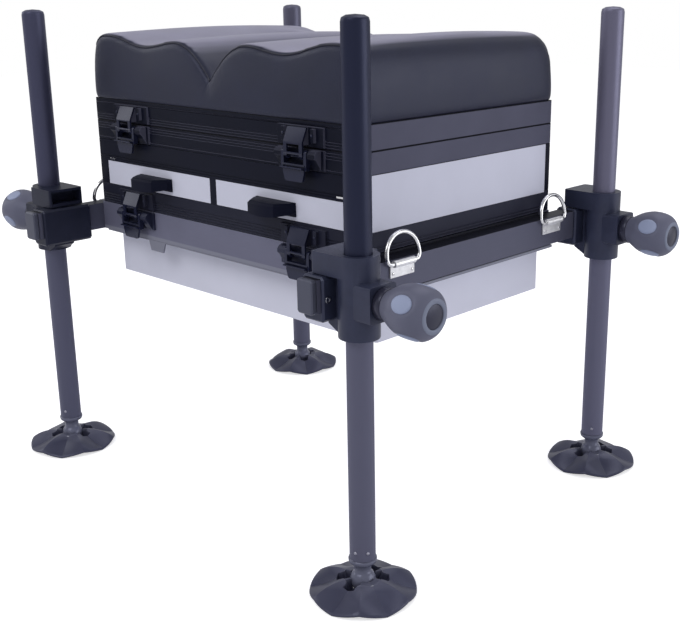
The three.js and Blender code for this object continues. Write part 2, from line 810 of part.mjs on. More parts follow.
// Plug, collar, neck and ball under a leg, with the cross screw that carries the foot
function footStud() {
  const tube = leg.radius - leg.wall - seat;
  const collarTop = foot.height - seat;
  const collarBottom = foot.height - foot.collarDrop;
  const r = foot.ballRadius;
  const points = [
    [0, foot.height + foot.spigotLength],
    [tube, foot.height + foot.spigotLength],
    [tube, collarTop],
    [foot.collarRadius, collarTop],
    [foot.collarRadius, collarTop - foot.collarDrop * collarTaperShare],
    [foot.neckRadius, collarBottom],
  ];
  const neckAngle = Math.asin(foot.neckRadius / r);
  for (let i = 0; i <= ballSteps; i++) {
    const angle = THREE.MathUtils.lerp(neckAngle, Math.PI, i / ballSteps);
    points.push([r * Math.sin(angle), foot.ballHeight + r * Math.cos(angle)]);
  }
  points[points.length - 1][0] = 0;
  const stud = solidOf(turned(points.reverse(), studSides));
  const z = foot.ballHeight;
  const screw = rod(foot.screwRadius, at(-foot.screwReach, 0, z), at(foot.screwReach, 0, z), 8);
  return geometryOf(joined(stud, screw));
}

// Foot: a fluted disc whose ridges run from the socket ring to the rim, cut by four slots.
// The cross screw lies along x, between two ridges.
function lobedFoot() {
  const profileSteps = [];
  for (let j = 0; j < footSteps; j++) {
    const angle = (2 * Math.PI * j) / footSteps;
    const wave = 0.5 - 0.5 * Math.cos(footRidges * angle);
    const rim = foot.rimThickness + foot.ridgeRimLift * wave;
    const mid = THREE.MathUtils.lerp(foot.hubRadius, foot.radius, footMidShare);
    const lean = THREE.MathUtils.lerp(foot.hubHeight, rim, footSlopeShare);
    const slope = lean + foot.ridgeRise * (wave - footWaveShare);
    const under = Math.max(foot.underside, slope - foot.shellThickness);
    const edge = foot.radius;
    const loop = [
      [foot.socketRadius, foot.hubHeight],
      [foot.hubRadius, foot.hubHeight - foot.ridgeRise * footHubDipShare * (1 - wave)],
      [mid, slope],
      [edge, rim],
      [edge, rim - foot.rimThickness],
      [mid, under],
      [foot.hubRadius, foot.underside],
      [foot.socketBottomRadius, foot.underside],
      [foot.socketRadius - socketTaper, foot.ballHeight * socketHeightShare],
    ];
    profileSteps.push(loop.map(([r, z]) => at(r * Math.cos(angle), r * Math.sin(angle), z)));
  }
  const shell = solidOf(closedSweep(profileSteps));
  const z = foot.ballHeight;
  const bore = rod(foot.screwRadius + seat, at(-foot.radius, 0, z), at(foot.radius, 0, z), 8);
  const ridges = [...Array(footRidges).keys()].filter((k) => k % (footRidges / 2) !== 0);
  const slots = ridges.map((k) => {
    const geometry = new THREE.BoxGeometry(foot.hubRadius, foot.slotWidth, foot.hubHeight);
    geometry.translate(foot.hubRadius / 2 + foot.rimThickness, 0, foot.slotFloor + foot.hubHeight / 2);
    geometry.rotateZ((2 * Math.PI * k) / footRidges);
    return solidOf(geometry);
  });
  return geometryOf(cut(shell, bore, ...slots));
}

// Joins rings of points, each a closed section, into one closed band
function closedSweep(sections) {
  const n = sections[0].length;
  const positions = sections.flat().flatMap((p) => [p.x, p.y, p.z]);
  const index = [];
  for (let j = 0; j < sections.length; j++) {
    const next = (j + 1) % sections.length;
    for (let i = 0; i < n; i++) {
      const k = (i + 1) % n;
      const a = j * n + i;
      const b = j * n + k;
      const c = next * n + i;
      const d = next * n + k;
      index.push(a, b, c, b, d, c);
    }
  }
  const geometry = new THREE.BufferGeometry();
  geometry.setAttribute("position", new THREE.Float32BufferAttribute(positions, 3));
  geometry.setIndex(index);
  return geometry;
}

// D-ring, drawn upright in the YZ plane about its straight bar
function dRing() {
  const line = [];
  for (let i = 0; i <= ringArcSteps; i++) {
    const angle = (Math.PI * i) / ringArcSteps;
    const rise = ring.rise - ring.shoulder;
    line.push(at(0, ring.halfWidth * Math.cos(angle), ring.shoulder + rise * Math.sin(angle)));
  }
  line.push(at(0, -ring.halfBar - ring.wire, ringCornerShare * ring.wire));
  line.push(at(0, -ring.halfBar + ring.wire, 0));
  line.push(at(0, ring.halfBar - ring.wire, 0));
  line.push(at(0, ring.halfBar + ring.wire, ringCornerShare * ring.wire));
  const sections = line.map((p, i) => {
    const before = line[(i + line.length - 1) % line.length];
    const after = line[(i + 1) % line.length];
    const tangent = new THREE.Vector3().subVectors(after, before).normalize();
    const across = new THREE.Vector3().crossVectors(tangent, at(1, 0, 0)).normalize();
    const section = [];
    for (let k = 0; k < ringSides; k++) {
      const angle = (2 * Math.PI * k) / ringSides;
      section.push(
        p
          .clone()
          .addScaledVector(across, ring.wire * Math.cos(angle))
          .add(at(ring.wire * Math.sin(angle), 0, 0)),
      );
    }
    return section;
  });
  return closedSweep(sections);
}

// Bracket of a D-ring, drawn about the ring's straight bar, for a bar on its -x side
const rollRadius = ring.wire + seat + bracket.rollWall;
const ringOut = rollRadius + seat;

function ringBracket() {
  const half = bracket.width / 2;
  const roll = bracket.rollWidth / 2;
  const back = -rollRadius;
  const plate = boxSolid(back, back + bracket.thickness, -half, half, -bracket.drop, 0);
  const tube = rod(rollRadius, at(0, -roll, 0), at(0, roll, 0), 12);
  const bore = rod(ring.wire + seat, at(0, -half - overrun, 0), at(0, half + overrun, 0), 10);
  return geometryOf(cut(joined(plate, tube), bore));
}

// Cassette
function cassetteBody() {
  const drawerIn = body.dividerWidth / 2;
  const drawerOut = halfWidth - body.drawerMargin + seat;
  const innerX = halfWidth - sidePanel.recess - body.wall;
  const innerY = halfDepth - body.frontWall;
  const shell = slab(boxWidth, boxDepth, cornerRadius, bodyBottom, bodyTop);
  const hollow = boxSolid(-innerX, innerX, -innerY, innerY, bodyBottom + body.floor, bodyTop + overrun);
  const panelRecesses = [-1, 1].map((side) => {
    const near = side * (halfWidth - sidePanel.recess);
    const far = side * (halfWidth + overrun);
    const reach = halfDepth - sidePanel.endMargin;
    return boxSolid(Math.min(near, far), Math.max(near, far), -reach, reach, bodyBottom - overrun, bodyTop + overrun);
  });
  const doorways = [-1, 1].map((side) => {
    const x0 = Math.min(side * drawerIn, side * drawerOut);
    const x1 = Math.max(side * drawerIn, side * drawerOut);
    return boxSolid(x0, x1, -halfDepth - overrun, -innerY + seat, bodyBottom - overrun, bayTop);
  });
  const strips = [0, 1].map((k) => {
    const z = bayTop + grip.height + grip.pitch * k;
    return boxSolid(
      -halfWidth - overrun,
      halfWidth + overrun,
      -halfDepth - overrun,
      -halfDepth + groove.depth,
      z - groove.height / 2,
      z + groove.height / 2,
    );
  });
  const divider = boxSolid(-drawerIn, drawerIn, -innerY - seat, innerY, bodyBottom + body.floor / 2, bayTop);
  const rails = [-1, 1].map((side) => {
    const inner = side * (drawerOut + drawer.sideSlack);
    const outer = side * (innerX + body.wall / 2);
    return boxSolid(
      Math.min(inner, outer),
      Math.max(inner, outer),
      -innerY - seat,
      innerY + seat,
      bodyBottom + body.floor / 2,
      bayTop,
    );
  });
  const walls = cut(shell, hollow, ...panelRecesses, ...doorways, ...strips);
  return geometryOf(joined(walls, divider, ...rails));
}

function trayShelf() {
  const innerX = halfWidth - sidePanel.recess - body.wall - seat;
  const innerY = halfDepth - body.frontWall - seat;
  const z0 = bayTop + seat;
  return geometryOf(boxSolid(-innerX, innerX, -innerY, innerY, z0, z0 + shelf.thickness));
}

function silverPanel(side) {
  const near = side * (halfWidth - sidePanel.recess + seat);
  const far = near + side * sidePanel.thickness;
  const reach = halfDepth - sidePanel.endMargin - seat;
  const z0 = lowerFrameTop - sidePanel.drop + seat;
  return geometryOf(boxSolid(Math.min(near, far), Math.max(near, far), -reach, reach, z0, bodyTop - seat));
}

// Rebates in the lower frame's upper outer edges, where the side panels reach down
function panelRebates() {
  return [-1, 1].map((side) => {
    const near = side * (halfWidth - sidePanel.recess);
    const far = side * (halfWidth + overrun);
    const reach = halfDepth - sidePanel.endMargin;
    const z0 = lowerFrameTop - sidePanel.drop;
    return boxSolid(Math.min(near, far), Math.max(near, far), -reach, reach, z0, lowerFrameTop + overrun);
  });
}

// Drawer, drawn for the right-hand bay
function drawerBox() {
  const x0 = body.dividerWidth / 2 + seat;
  const x1 = halfWidth - body.drawerMargin;
  const y0 = -halfDepth;
  const y1 = halfDepth - drawer.rearRoom;
  const floorZ = bodyBottom + body.floor + seat;
  const front = boxSolid(x0, x1, y0, y0 + drawer.frontThickness, drawerFrontBottom, drawerTop);
  const boxY = y0 + drawer.frontThickness / 2;
  const box = boxSolid(x0 + drawer.sideSlack, x1 - drawer.sideSlack, boxY, y1, floorZ, drawerTop - drawer.wall);
  const inside = boxSolid(
    x0 + drawer.sideSlack + drawer.wall,
    x1 - drawer.sideSlack - drawer.wall,
    y0 + drawer.frontThickness,
    y1 - drawer.wall,
    floorZ + drawer.wall,
    drawerTop + overrun,
  );
  return cut(joined(front, box), inside);
}

// Hooded handle, drawn about the middle of its drawer front, open underneath, with a bevelled top edge
// and a lower edge that hangs down in the middle
function drawerHandle() {
  const back = handle.width / 2;
  const front = handle.frontWidth / 2;
  const bevel = handle.topBevel;
  const outline = (inset) => {
    const shape = new THREE.Shape();
    const depth = handle.depth - inset;
    const b = back - inset;
    const f = front - inset;
    shape.moveTo(-b, -inset);
    shape.lineTo(b, -inset);
    shape.lineTo(b, -handle.backBevel);
    shape.lineTo(f, -depth + handle.bow);
    shape.quadraticCurveTo(0, -depth - handle.bow, -f, -depth + handle.bow);
    shape.lineTo(-b, -handle.backBevel);
    return shape;
  };
  const options = {
    depth: handle.height - bevel,
    bevelThickness: bevel,
    bevelSize: bevel,
    bevelSegments: 1,
    curveSegments: handleCurveSegments,
  };
  const outer = solidOf(new THREE.ExtrudeGeometry(outline(bevel), options));
  const below = boxSolid(-back - overrun, back + overrun, -handle.depth - overrun, overrun, -bevel - overrun, 0);
  const innerGeometry = prism(outline(handle.wall), handle.height, handleCurveSegments);
  innerGeometry.translate(0, 0, -handle.wall);
  const arch = new THREE.Shape();
  arch.moveTo(-back, -overrun);
  arch.lineTo(back, -overrun);
  arch.lineTo(back, handle.endRise);
  arch.quadraticCurveTo(0, -handle.endRise, -back, handle.endRise);
  const archGeometry = prism(arch, handle.depth + overrun, handleCurveSegments);
  archGeometry.rotateX(Math.PI / 2);
  const plate = boxSolid(-back, back, -handle.wall, 0, 0, handle.height);
  return geometryOf(joined(cut(outer, below, solidOf(innerGeometry), solidOf(archGeometry)), plate));
}

// Lid
function seatBoard() {
  const inset = 2 * board.ledge;
  const top = lidFrameTop - seat;
  return geometryOf(slab(boxWidth - inset, boxDepth - inset, cornerRadius, top - board.thickness, top));
}

function lidRing() {
  const inset = 2 * (board.ledge - seat);
  const rebateFloor = lidFrameTop - 2 * seat - board.thickness;
  const rebate = slab(boxWidth - inset, boxDepth - inset, cornerRadius, rebateFloor, lidFrameTop + overrun);
  const ringSolid = ribbedFrame(lidFrameBottom, lidFrame.height, lidFrame.wall, lidGrooveShares);
  return ringSolid.subtract(rebate);
}

// Height of the cushion above its underside at share u of the half width, before its edges round off
function cushionRise(u) {
  const a = Math.abs(u);
  const ease = (t) => 0.5 - 0.5 * Math.cos(Math.PI * THREE.MathUtils.clamp(t, 0, 1));
  if (a < crestShare) {
    const t = a / crestShare;
    const climb = Math.sin((Math.PI / 2) * t ** valleyPower);
    return THREE.MathUtils.lerp(cushion.valley, cushion.innerCrest, climb);
  }
  if (a < troughShare) {
    return THREE.MathUtils.lerp(cushion.innerCrest, cushion.trough, ease((a - crestShare) / (troughShare - crestShare)));
  }
  return THREE.MathUtils.lerp(cushion.trough, cushion.crest, ease((a - troughShare) / (outerShare - troughShare)));
}

// How far a rounded edge of a given radius lies below its crest, at a distance in from the edge
function edgeDrop(distance, radius) {
  const d = Math.min(distance, radius);
  return radius - Math.sqrt(Math.max(0, radius * radius - (radius - d) * (radius - d)));
}

function seatCushion() {
  const halfX = halfWidth - cushion.underInset;
  const halfY = halfDepth - cushion.underInset;
  const floorRise = cushion.valley * cushionFloorShare;
  const sections = cushionDepthShares.map((share) => {
    const y = THREE.MathUtils.lerp(-halfY, halfY, share);
    const crown = cushion.crownRise * Math.sin(Math.PI * share);
    const front = edgeDrop(y + halfY, cushion.frontRadius);
    const back = edgeDrop(halfY - y, cushion.backRadius);
    const row = [];
    for (let i = 0; i <= cushionColumns; i++) {
      const t = i / cushionColumns;
      const u = -Math.cos(Math.PI * t) * cushionEdgeShare + (2 * t - 1) * (1 - cushionEdgeShare);
      const x = u * (halfX - edgeDrop(halfY - Math.abs(y), cushion.cornerRadius));
      const side = edgeDrop(halfX - Math.abs(u * halfX), cushion.sideRadius);
      const rise = cushionRise(u) + crown;
      row.push(at(x, y, Math.max(floorRise, rise - side - Math.max(front, back))));
    }
    return row;
  });
  return cushionSkin(sections);
}

// Closes a grid of top points with bulging walls and a flat underside
function cushionSkin(rows) {
  const points = [];
  const index = [];
  const m = rows.length;
  const n = rows[0].length;
  const add = (p) => points.push([p.x, p.y, p.z + cushionBottom]) - 1;
  const top = rows.map((row) => row.map(add));
  const rim = [];
  for (let i = 0; i < n; i++) rim.push([0, i]);
  for (let j = 1; j < m; j++) rim.push([j, n - 1]);
  for (let i = n - 2; i >= 0; i--) rim.push([m - 1, i]);
  for (let j = m - 2; j >= 1; j--) rim.push([j, 0]);
  const out = rim.map(([j, i]) => {
    const dx = i === 0 ? -1 : i === n - 1 ? 1 : 0;
    const dy = j === 0 ? -1 : j === m - 1 ? 1 : 0;
    return at(dx, dy, 0).normalize();
  });
  const rings = [rim.map(([j, i]) => top[j][i])];
  wallShares.forEach((share, k) => {
    rings.push(
      rim.map(([j, i], q) => {
        const p = rows[j][i];
        const swell = cushion.bulge * bulgeShares[k];
        return add(at(p.x + out[q].x * swell, p.y + out[q].y * swell, p.z * share));
      }),
    );
  });
  for (let j = 0; j + 1 < m; j++) {
    for (let i = 0; i + 1 < n; i++) {
      index.push(top[j][i], top[j][i + 1], top[j + 1][i + 1], top[j][i], top[j + 1][i + 1], top[j + 1][i]);
    }
  }
  for (let k = 0; k + 1 < rings.length; k++) {
    for (let q = 0; q < rim.length; q++) {
      const r = (q + 1) % rim.length;
      const [a, b, c, d] = [rings[k][q], rings[k][r], rings[k + 1][q], rings[k + 1][r]];
      index.push(a, c, b, b, c, d);
    }
  }
  const last = rings[rings.length - 1];
  const centre = add(at(0, 0, 0));
  for (let q = 0; q < rim.length; q++) {
    index.push(last[(q + 1) % rim.length], last[q], centre);
  }
  const geometry = new THREE.BufferGeometry();
  geometry.setAttribute("position", new THREE.Float32BufferAttribute(points.flat(), 3));
  geometry.setIndex(index);
  return geometry;
}

// One leaf of a back hinge at a joint line. The lower leaf carries the pin and the odd knuckles.
function hingeLeaf(line, upper) {
  const half = halfWidth - hinge.endInset;
  const y0 = halfDepth + seat;
  const y1 = y0 + hinge.leafThickness;
  const axisY = halfDepth + hinge.setOut;
  const toLine = upper ? 1 : -1;
  const near = line + toLine * seat;
  const far = near + toLine * hinge.leafHeight;
  let leaf = boxSolid(-half, half, y0, y1, Math.min(near, far), Math.max(near, far));
  const pitch = (2 * half) / hingeKnuckles;
  for (let k = 0; k < hingeKnuckles; k++) {
    const x0 = -half + k * pitch + seat;
    const x1 = x0 + pitch - 2 * seat;
    const mine = (k % 2 === 1) === upper;
    if (mine) {
      leaf = leaf.add(rod(hinge.knuckleRadius, at(x0, axisY, line), at(x1, axisY, line), knuckleSegments));
    } else {
      const room = hinge.knuckleRadius + seat;
      const ends = [at(x0 - 2 * seat, axisY, line), at(x1 + 2 * seat, axisY, line)];
      leaf = leaf.subtract(rod(room, ...ends, knuckleSegments));
    }
  }
  const ends = [at(-half - overrun, axisY, line), at(half + overrun, axisY, line)];
  const pinEnds = [at(-half + seat, axisY, line), at(half - seat, axisY, line)];
  if (upper) {
    return geometryOf(leaf.subtract(rod(hinge.pinRadius + seat, ...ends, pinSegments)));
  }
  return geometryOf(leaf.add(rod(hinge.pinRadius, ...pinEnds, pinSegments)));
}

// Assembly
const model = new THREE.Group();
const leftRight = { l: -1, r: 1 };
const frontBack = { f: -1, b: 1 };
const footHeading = { fl: -47, fr: -20, bl: 25, br: -35 };
const upperLine = lidSplit;
const lowerLine = boxSplit;

function latchPair(make, line) {
  return Object.values(leftRight).map((side) => make(side * latchX, line));
}

const frontBar = joined(crossBar(bar.crossDepth), ...latchPair(latchBase, lowerLine));
model.add(piece("front_bar", geometryOf(frontBar), blackFrame));
model.add(piece("rear_bar", geometryOf(crossBar(bar.rearDepth)), blackFrame, 0, 0, 0, Math.PI));
model.add(piece("base_box", geometryOf(baseBox()), silver));

const barMidX = (barInner + barOuter) / 2;
const rightBar = sideBar(-barEnds.short, barEnds.long);
const leftBar = sideBar(-barEnds.long, barEnds.short);
model.add(piece("right_bar", rightBar, blackFrame, barMidX, 0, sideBarMid));
model.add(piece("left_bar", leftBar, blackFrame, -barMidX, 0, sideBarMid));
model.add(piece("bar_cap_r", barEndCap(), blackPlastic, barMidX, -barEnds.short, sideBarMid));
model.add(piece("bar_cap_l", barEndCap(), blackPlastic, -barMidX, -barEnds.long, sideBarMid));

const { height: lowerHeight, wall: lowerWall } = lowerFrame;
const lowerBand = ribbedFrame(lowerFrameBottom, lowerHeight, lowerWall, lowerGrooveShares, lowerSideGrooveShares);
const lowerRing = joined(cut(lowerBand, ...panelRebates()), ...latchPair(latchKeeper, lowerLine));
model.add(piece("lower_frame", geometryOf(lowerRing), blackFrame));
model.add(piece("cassette_body", cassetteBody(), blackPlastic));
model.add(piece("tray_shelf", trayShelf(), blackPlastic));
const trayRing = ribbedFrame(trayFrameBottom, trayFrame.height, trayFrame.wall, trayGrooveShares);
model.add(piece("tray_frame", geometryOf(joined(trayRing, ...latchPair(latchBase, upperLine))), blackFrame));
model.add(piece("lid_frame", geometryOf(joined(lidRing(), ...latchPair(latchKeeper, upperLine))), blackFrame));
model.add(piece("seat_board", seatBoard(), timber));
model.add(piece("seat_cushion", seatCushion(), vinyl));

model.add(piece("cassette_hinge_lower", hingeLeaf(lowerLine, false), nickel));
model.add(piece("cassette_hinge_upper", hingeLeaf(lowerLine, true), nickel));
model.add(piece("lid_hinge_lower", hingeLeaf(upperLine, false), nickel));
model.add(piece("lid_hinge_upper", hingeLeaf(upperLine, true), nickel));

const drawerMidX = (body.dividerWidth / 2 + seat + halfWidth - body.drawerMargin) / 2;
const drawerSolid = drawerBox();
for (const [key, side] of Object.entries(leftRight)) {
  model.add(piece(`side_panel_${key}`, silverPanel(side), silver));
  const turnedDrawer = side > 0 ? drawerSolid : drawerSolid.mirror([1, 0, 0]);
  model.add(piece(`drawer_${key}`, geometryOf(turnedDrawer), blackPlastic));
  const handleZ = drawerTop - handle.topDrop - handle.height;
  model.add(piece(`drawer_handle_${key}`, drawerHandle(), blackPlastic, side * drawerMidX, -halfDepth - seat, handleZ));
  for (const [level, line] of Object.entries({ upper: upperLine, lower: lowerLine })) {
    const x = side * latchX;
    model.add(piece(`latch_lever_${level}_${key}`, geometryOf(latchLever(x, line)), nickel));
    model.add(piece(`latch_claw_${level}_${key}`, geometryOf(latchClaw(x, line)), nickel));
  }
}

const blockShape = legBlock();
const tubeShape = legTube();
const studShape = footStud();
const footShape = lobedFoot();
const knobShape = clampKnob();
const bracketShape = ringBracket();
const ringShape = closed(dRing());
ringShape.rotateY(-ringLean);
const ringZ = sideBarTop - bracket.axisDrop;
const ringX = barOuter + ringOut;

for (const [depthKey, depthSide] of Object.entries(frontBack)) {
  for (const [sideKey, side] of Object.entries(leftRight)) {
    const corner = `${depthKey}${sideKey}`;
    const turn = side > 0 ? 0 : Math.PI;
    const x = side * legX;
    const y = depthSide * legY;
    const heading = THREE.MathUtils.degToRad(footHeading[corner]);
    const ringY = depthSide * (halfDepth - (side * depthSide > 0 ? ring.farInset : ring.nearInset));
    model.add(piece(`leg_block_${corner}`, blockShape, casting, x, y, sideBarMid, turn));
    model.add(piece(`leg_${corner}`, tubeShape, tubeBlack, x, y));
    model.add(piece(`foot_stud_${corner}`, studShape, casting, x, y, 0, heading));
    model.add(piece(`foot_${corner}`, footShape, blackPlastic, x, y, 0, heading));
    model.add(piece(`knob_${corner}`, knobShape, softGrip, x, y, sideBarMid - block.bossDrop, turn));
    model.add(piece(`ring_bracket_${corner}`, bracketShape, nickel, side * ringX, ringY, ringZ, turn));
    model.add(piece(`ring_${corner}`, ringShape, nickel, side * ringX, ringY, ringZ, turn));
  }
}

export default model;
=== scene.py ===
"""Looks of the fishing seat box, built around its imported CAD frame.

The frame is in metres, with +Z up and the front towards -Y. Measures of the pieces are in millimetres.
"""

import json
import math

import bpy
from mathutils import Matrix, Vector
from mathutils.bvhtree import BVHTree


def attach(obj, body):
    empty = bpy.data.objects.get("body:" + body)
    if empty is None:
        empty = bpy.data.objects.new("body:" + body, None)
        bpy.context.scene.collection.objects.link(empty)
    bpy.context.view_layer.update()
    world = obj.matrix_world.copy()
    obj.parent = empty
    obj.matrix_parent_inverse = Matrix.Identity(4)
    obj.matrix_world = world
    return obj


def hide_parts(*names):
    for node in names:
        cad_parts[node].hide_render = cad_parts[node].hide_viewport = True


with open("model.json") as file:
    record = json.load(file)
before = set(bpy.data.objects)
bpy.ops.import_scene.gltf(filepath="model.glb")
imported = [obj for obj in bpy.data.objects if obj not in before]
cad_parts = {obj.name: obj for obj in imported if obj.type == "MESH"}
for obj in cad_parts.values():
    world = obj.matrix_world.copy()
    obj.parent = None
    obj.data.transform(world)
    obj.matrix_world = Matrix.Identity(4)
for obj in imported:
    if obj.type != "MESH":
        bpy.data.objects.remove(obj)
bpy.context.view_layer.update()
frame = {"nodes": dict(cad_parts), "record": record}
NODES = frame["nodes"]
SLOT_OF = {part["node"]: part["material_slot"] for part in frame["record"]["subparts"]}
MM = 0.001


def span(node, axis):
    """Lowest and highest place of a CAD node along an axis, in millimetres."""
    obj = NODES[node]
    places = [(obj.matrix_world @ vertex.co)["xyz".index(axis)] / MM for vertex in obj.data.vertices]
    return round(min(places), 2), round(max(places), 2)


def mid(node, axis):
    low, high = span(node, axis)
    return (low + high) / 2


def joint(under, over):
    """Height in the middle of the gap between two CAD nodes."""
    return (span(under, "z")[1] + span(over, "z")[0]) / 2


# Frame of the photograph in pixels, and the camera that was fitted to it
PHOTO_WIDTH, PHOTO_HEIGHT = 680, 632
FOCAL_PIXELS = 1056.8
PRINCIPAL_X, PRINCIPAL_Y = 386.63, 293.32
CAMERA_AT = Vector((0.88133, -0.82577, 0.54813))
CAMERA_YAW, CAMERA_PITCH, CAMERA_ROLL = 0.75441, -0.27936, -0.00697
SENSOR_WIDTH = 36.0
CLIP_NEAR, CLIP_FAR = 0.05, 50.0

# Places of the CAD model that the pieces below fit
HALF_WIDTH, HALF_DEPTH = span("base_box", "x")[1], span("cassette_body", "y")[1]
LID_LINE, BOX_LINE = joint("tray_frame", "lid_frame"), joint("front_bar", "lower_frame")
BAR_SIDE, BAR_UNDERSIDE = span("right_bar", "x")[1], span("front_bar", "z")[0]
LEG_X, LEG_Y, LEG_BOTTOM = mid("leg_br", "x"), mid("leg_br", "y"), span("leg_br", "z")[0]
LEG_RADIUS = span("leg_br", "x")[1] - LEG_X
BOSS_REACH = span("leg_block_br", "x")[1] - LEG_X
KNOB_Z = mid("knob_br", "z")
LATCH_X = mid("latch_lever_upper_r", "x")
CLEARANCE = 0.3

# Corners: name of the leg's bodies, side, end, and heading of the foot in degrees
CORNERS = {
    "fl": ("front_left", -1, -1, -47),
    "fr": ("front_right", 1, -1, -20),
    "bl": ("back_left", -1, 1, 25),
    "br": ("back_right", 1, 1, -35),
}
SIDES = ((-1, "l"), (1, "r"))
HANDS = ((-1, "a"), (1, "b"))


# Materials
class Shader:
    """A Principled material and short calls that add nodes to it."""

    def __init__(self, name, color, rough, metal=0.0, specular=0.5):
        self.mat = bpy.data.materials.new(name)
        self.mat.use_nodes = True
        self.tree = self.mat.node_tree
        self.bsdf = self.tree.nodes["Principled BSDF"]
        self.set(self.bsdf, "Base Color", (*color, 1))
        self.set(self.bsdf, "Roughness", rough)
        self.set(self.bsdf, "Metallic", metal)
        self.set(self.bsdf, "Specular IOR Level", specular)
        if metal < 1:
            self.set(self.bsdf, "Specular Tint", (*COOL_SHINE, 1))
        self.rough = rough
        self.mat.diffuse_color = (*color, 1)
        self.coordinates = self.node("ShaderNodeTexCoord")
        self.at = self.coordinates.outputs["Object"]

    def set(self, node, socket, value):
        node.inputs[socket].default_value = value

    def node(self, kind, **values):
        made = self.tree.nodes.new(kind)
        for key, value in values.items():
            setattr(made, key, value)
        return made

    def link(self, start, end):
        self.tree.links.new(start, end)

    def noise(self, scale, detail=3.0, rough=0.5, stretch=(1, 1, 1)):
        mapping = self.node("ShaderNodeMapping")
        self.set(mapping, "Scale", stretch)
        self.link(self.at, mapping.inputs["Vector"])
        made = self.node("ShaderNodeTexNoise")
        self.set(made, "Scale", scale)
        self.set(made, "Detail", detail)
        self.set(made, "Roughness", rough)
        self.link(mapping.outputs["Vector"], made.inputs["Vector"])
        return made.outputs["Fac"]

    def voronoi(self, scale, feature="F1"):
        made = self.node("ShaderNodeTexVoronoi", feature=feature)
        self.set(made, "Scale", scale)
        self.link(self.at, made.inputs["Vector"])
        return made.outputs["Distance"]

    def ranged(self, value, low, high, from_low=0.3, from_high=0.7):
        made = self.node("ShaderNodeMapRange")
        self.set(made, "From Min", from_low)
        self.set(made, "From Max", from_high)
        self.set(made, "To Min", low)
        self.set(made, "To Max", high)
        self.link(value, made.inputs["Value"])
        return made.outputs["Result"]

    def component(self, output, axis):
        """One axis of the object's place ("Object") or of its surface's direction ("Normal")."""
        split = self.node("ShaderNodeSeparateXYZ")
        self.link(self.coordinates.outputs[output], split.inputs["Vector"])
        return split.outputs[axis]

    def height(self, low, high):
        """0 to 1 as the place rises from low to high millimetres."""
        return self.ranged(self.component("Object", "Z"), 0, 1, low * MM, high * MM)

    def facing(self, axis, low, high, either_way=False):
        """0 to 1 as the surface's direction along an axis goes from low to high."""
        direction = self.component("Normal", axis)
        if either_way:
            size = self.node("ShaderNodeMath", operation="ABSOLUTE")
            self.link(direction, size.inputs[0])
            direction = size.outputs[0]
        return self.ranged(direction, 0, 1, low, high)

    def band(self, axis, low, high):
        """1 where the place along an axis lies between low and high millimetres, else 0."""
        place = self.component("Object", axis)
        both = self.node("ShaderNodeMath", operation="MULTIPLY")
        for socket, edge, ends in zip(both.inputs, (low, high), ((0, 1), (1, 0))):
            self.link(self.ranged(place, *ends, (edge - BAND_SOFT) * MM, (edge + BAND_SOFT) * MM), socket)
        return both.outputs[0]

    def mixed(self, first, second, share):
        """Colour from first to second, each a colour or a socket, as share goes from 0 to 1."""
        mix = self.node("ShaderNodeMix", data_type="RGBA")
        sockets = {socket.identifier: socket for socket in mix.inputs}
        for value, socket in ((first, sockets["A_Color"]), (second, sockets["B_Color"])):
            if isinstance(value, tuple):
                socket.default_value = (*value, 1)
            else:
                self.link(value, socket)
        self.link(share, sockets["Factor_Float"])
        return next(socket for socket in mix.outputs if socket.identifier == "Result_Color")

    def varied(self, color, value, low, high):
        """The colour times low to high, as value goes over its range."""
        darker, lighter = (tuple(c * k for c in color) for k in (low, high))
        return self.mixed(darker, lighter, self.ranged(value, 0, 1))

    def clouded(self, color, spread):
        """The colour with wide soft clouds, darker and lighter by the spread."""
        return self.varied(color, self.noise(CLOUD_SCALE), 1 - spread, 1 + spread)

    def paint(self, socket):
        self.link(socket, self.bsdf.inputs["Base Color"])

    def vary_rough(self, value, spread):
        rough = self.ranged(value, self.rough - spread, self.rough + spread)
        self.link(rough, self.bsdf.inputs["Roughness"])

    def bump(self, *layers):
        """layers: (height socket, strength, distance in metres), the last on top."""
        normal = None
        for height, strength, distance in layers:
            made = self.node("ShaderNodeBump")
            self.set(made, "Strength", strength)
            self.set(made, "Distance", distance)
            self.link(height, made.inputs["Height"])
            if normal:
                self.link(normal, made.inputs["Normal"])
            normal = made.outputs["Normal"]
        self.link(normal, self.bsdf.inputs["Normal"])

    def drawn(self, along, paint, spread=0.05, strength=0.12):
        """Finishes drawn metal: its paint, and faint lines along one axis."""
        stretch = tuple(LINE_STRETCH if axis == along else 1.0 for axis in "xyz")
        lines = self.noise(LINE_SCALE, 2, 0.6, stretch)
        self.paint(paint)
        self.vary_rough(lines, spread)
        self.bump((lines, strength, LINE_DEPTH))
        return self.mat


# Tones that several materials share
COOL_SHINE = (0.74, 0.77, 1.0)
# The first black is painted shade, for gaps, joints and tops that lie in shade.
SHADE_BLACK, LATCH_TONE = (0.004, 0.004, 0.008), (0.012, 0.014, 0.034)
# The bars along x and the side bars are lit and shaded copies of one anodised black, painted for how the
# light falls on each.
BAR_TONE, SIDE_TONE, TUBE_TONE = (0.134, 0.136, 0.198), (0.082, 0.084, 0.125), (0.105, 0.106, 0.160)
CAP_TONE, HANDLE_TONE = (0.062, 0.066, 0.095), (0.005, 0.006, 0.016)
# Painted shadow: the grey of the base box in the shadow of the bars.
SHADOW_GREY = (0.20, 0.205, 0.26)

# Scales of the procedural patterns, and the depth of the drawing lines in metres
CLOUD_SCALE, PLASTIC_CLOUDS, PLASTIC_GRAIN = 14, 20, 1400
LINE_SCALE, LINE_STRETCH, LINE_DEPTH = 900, 0.06, 0.0001

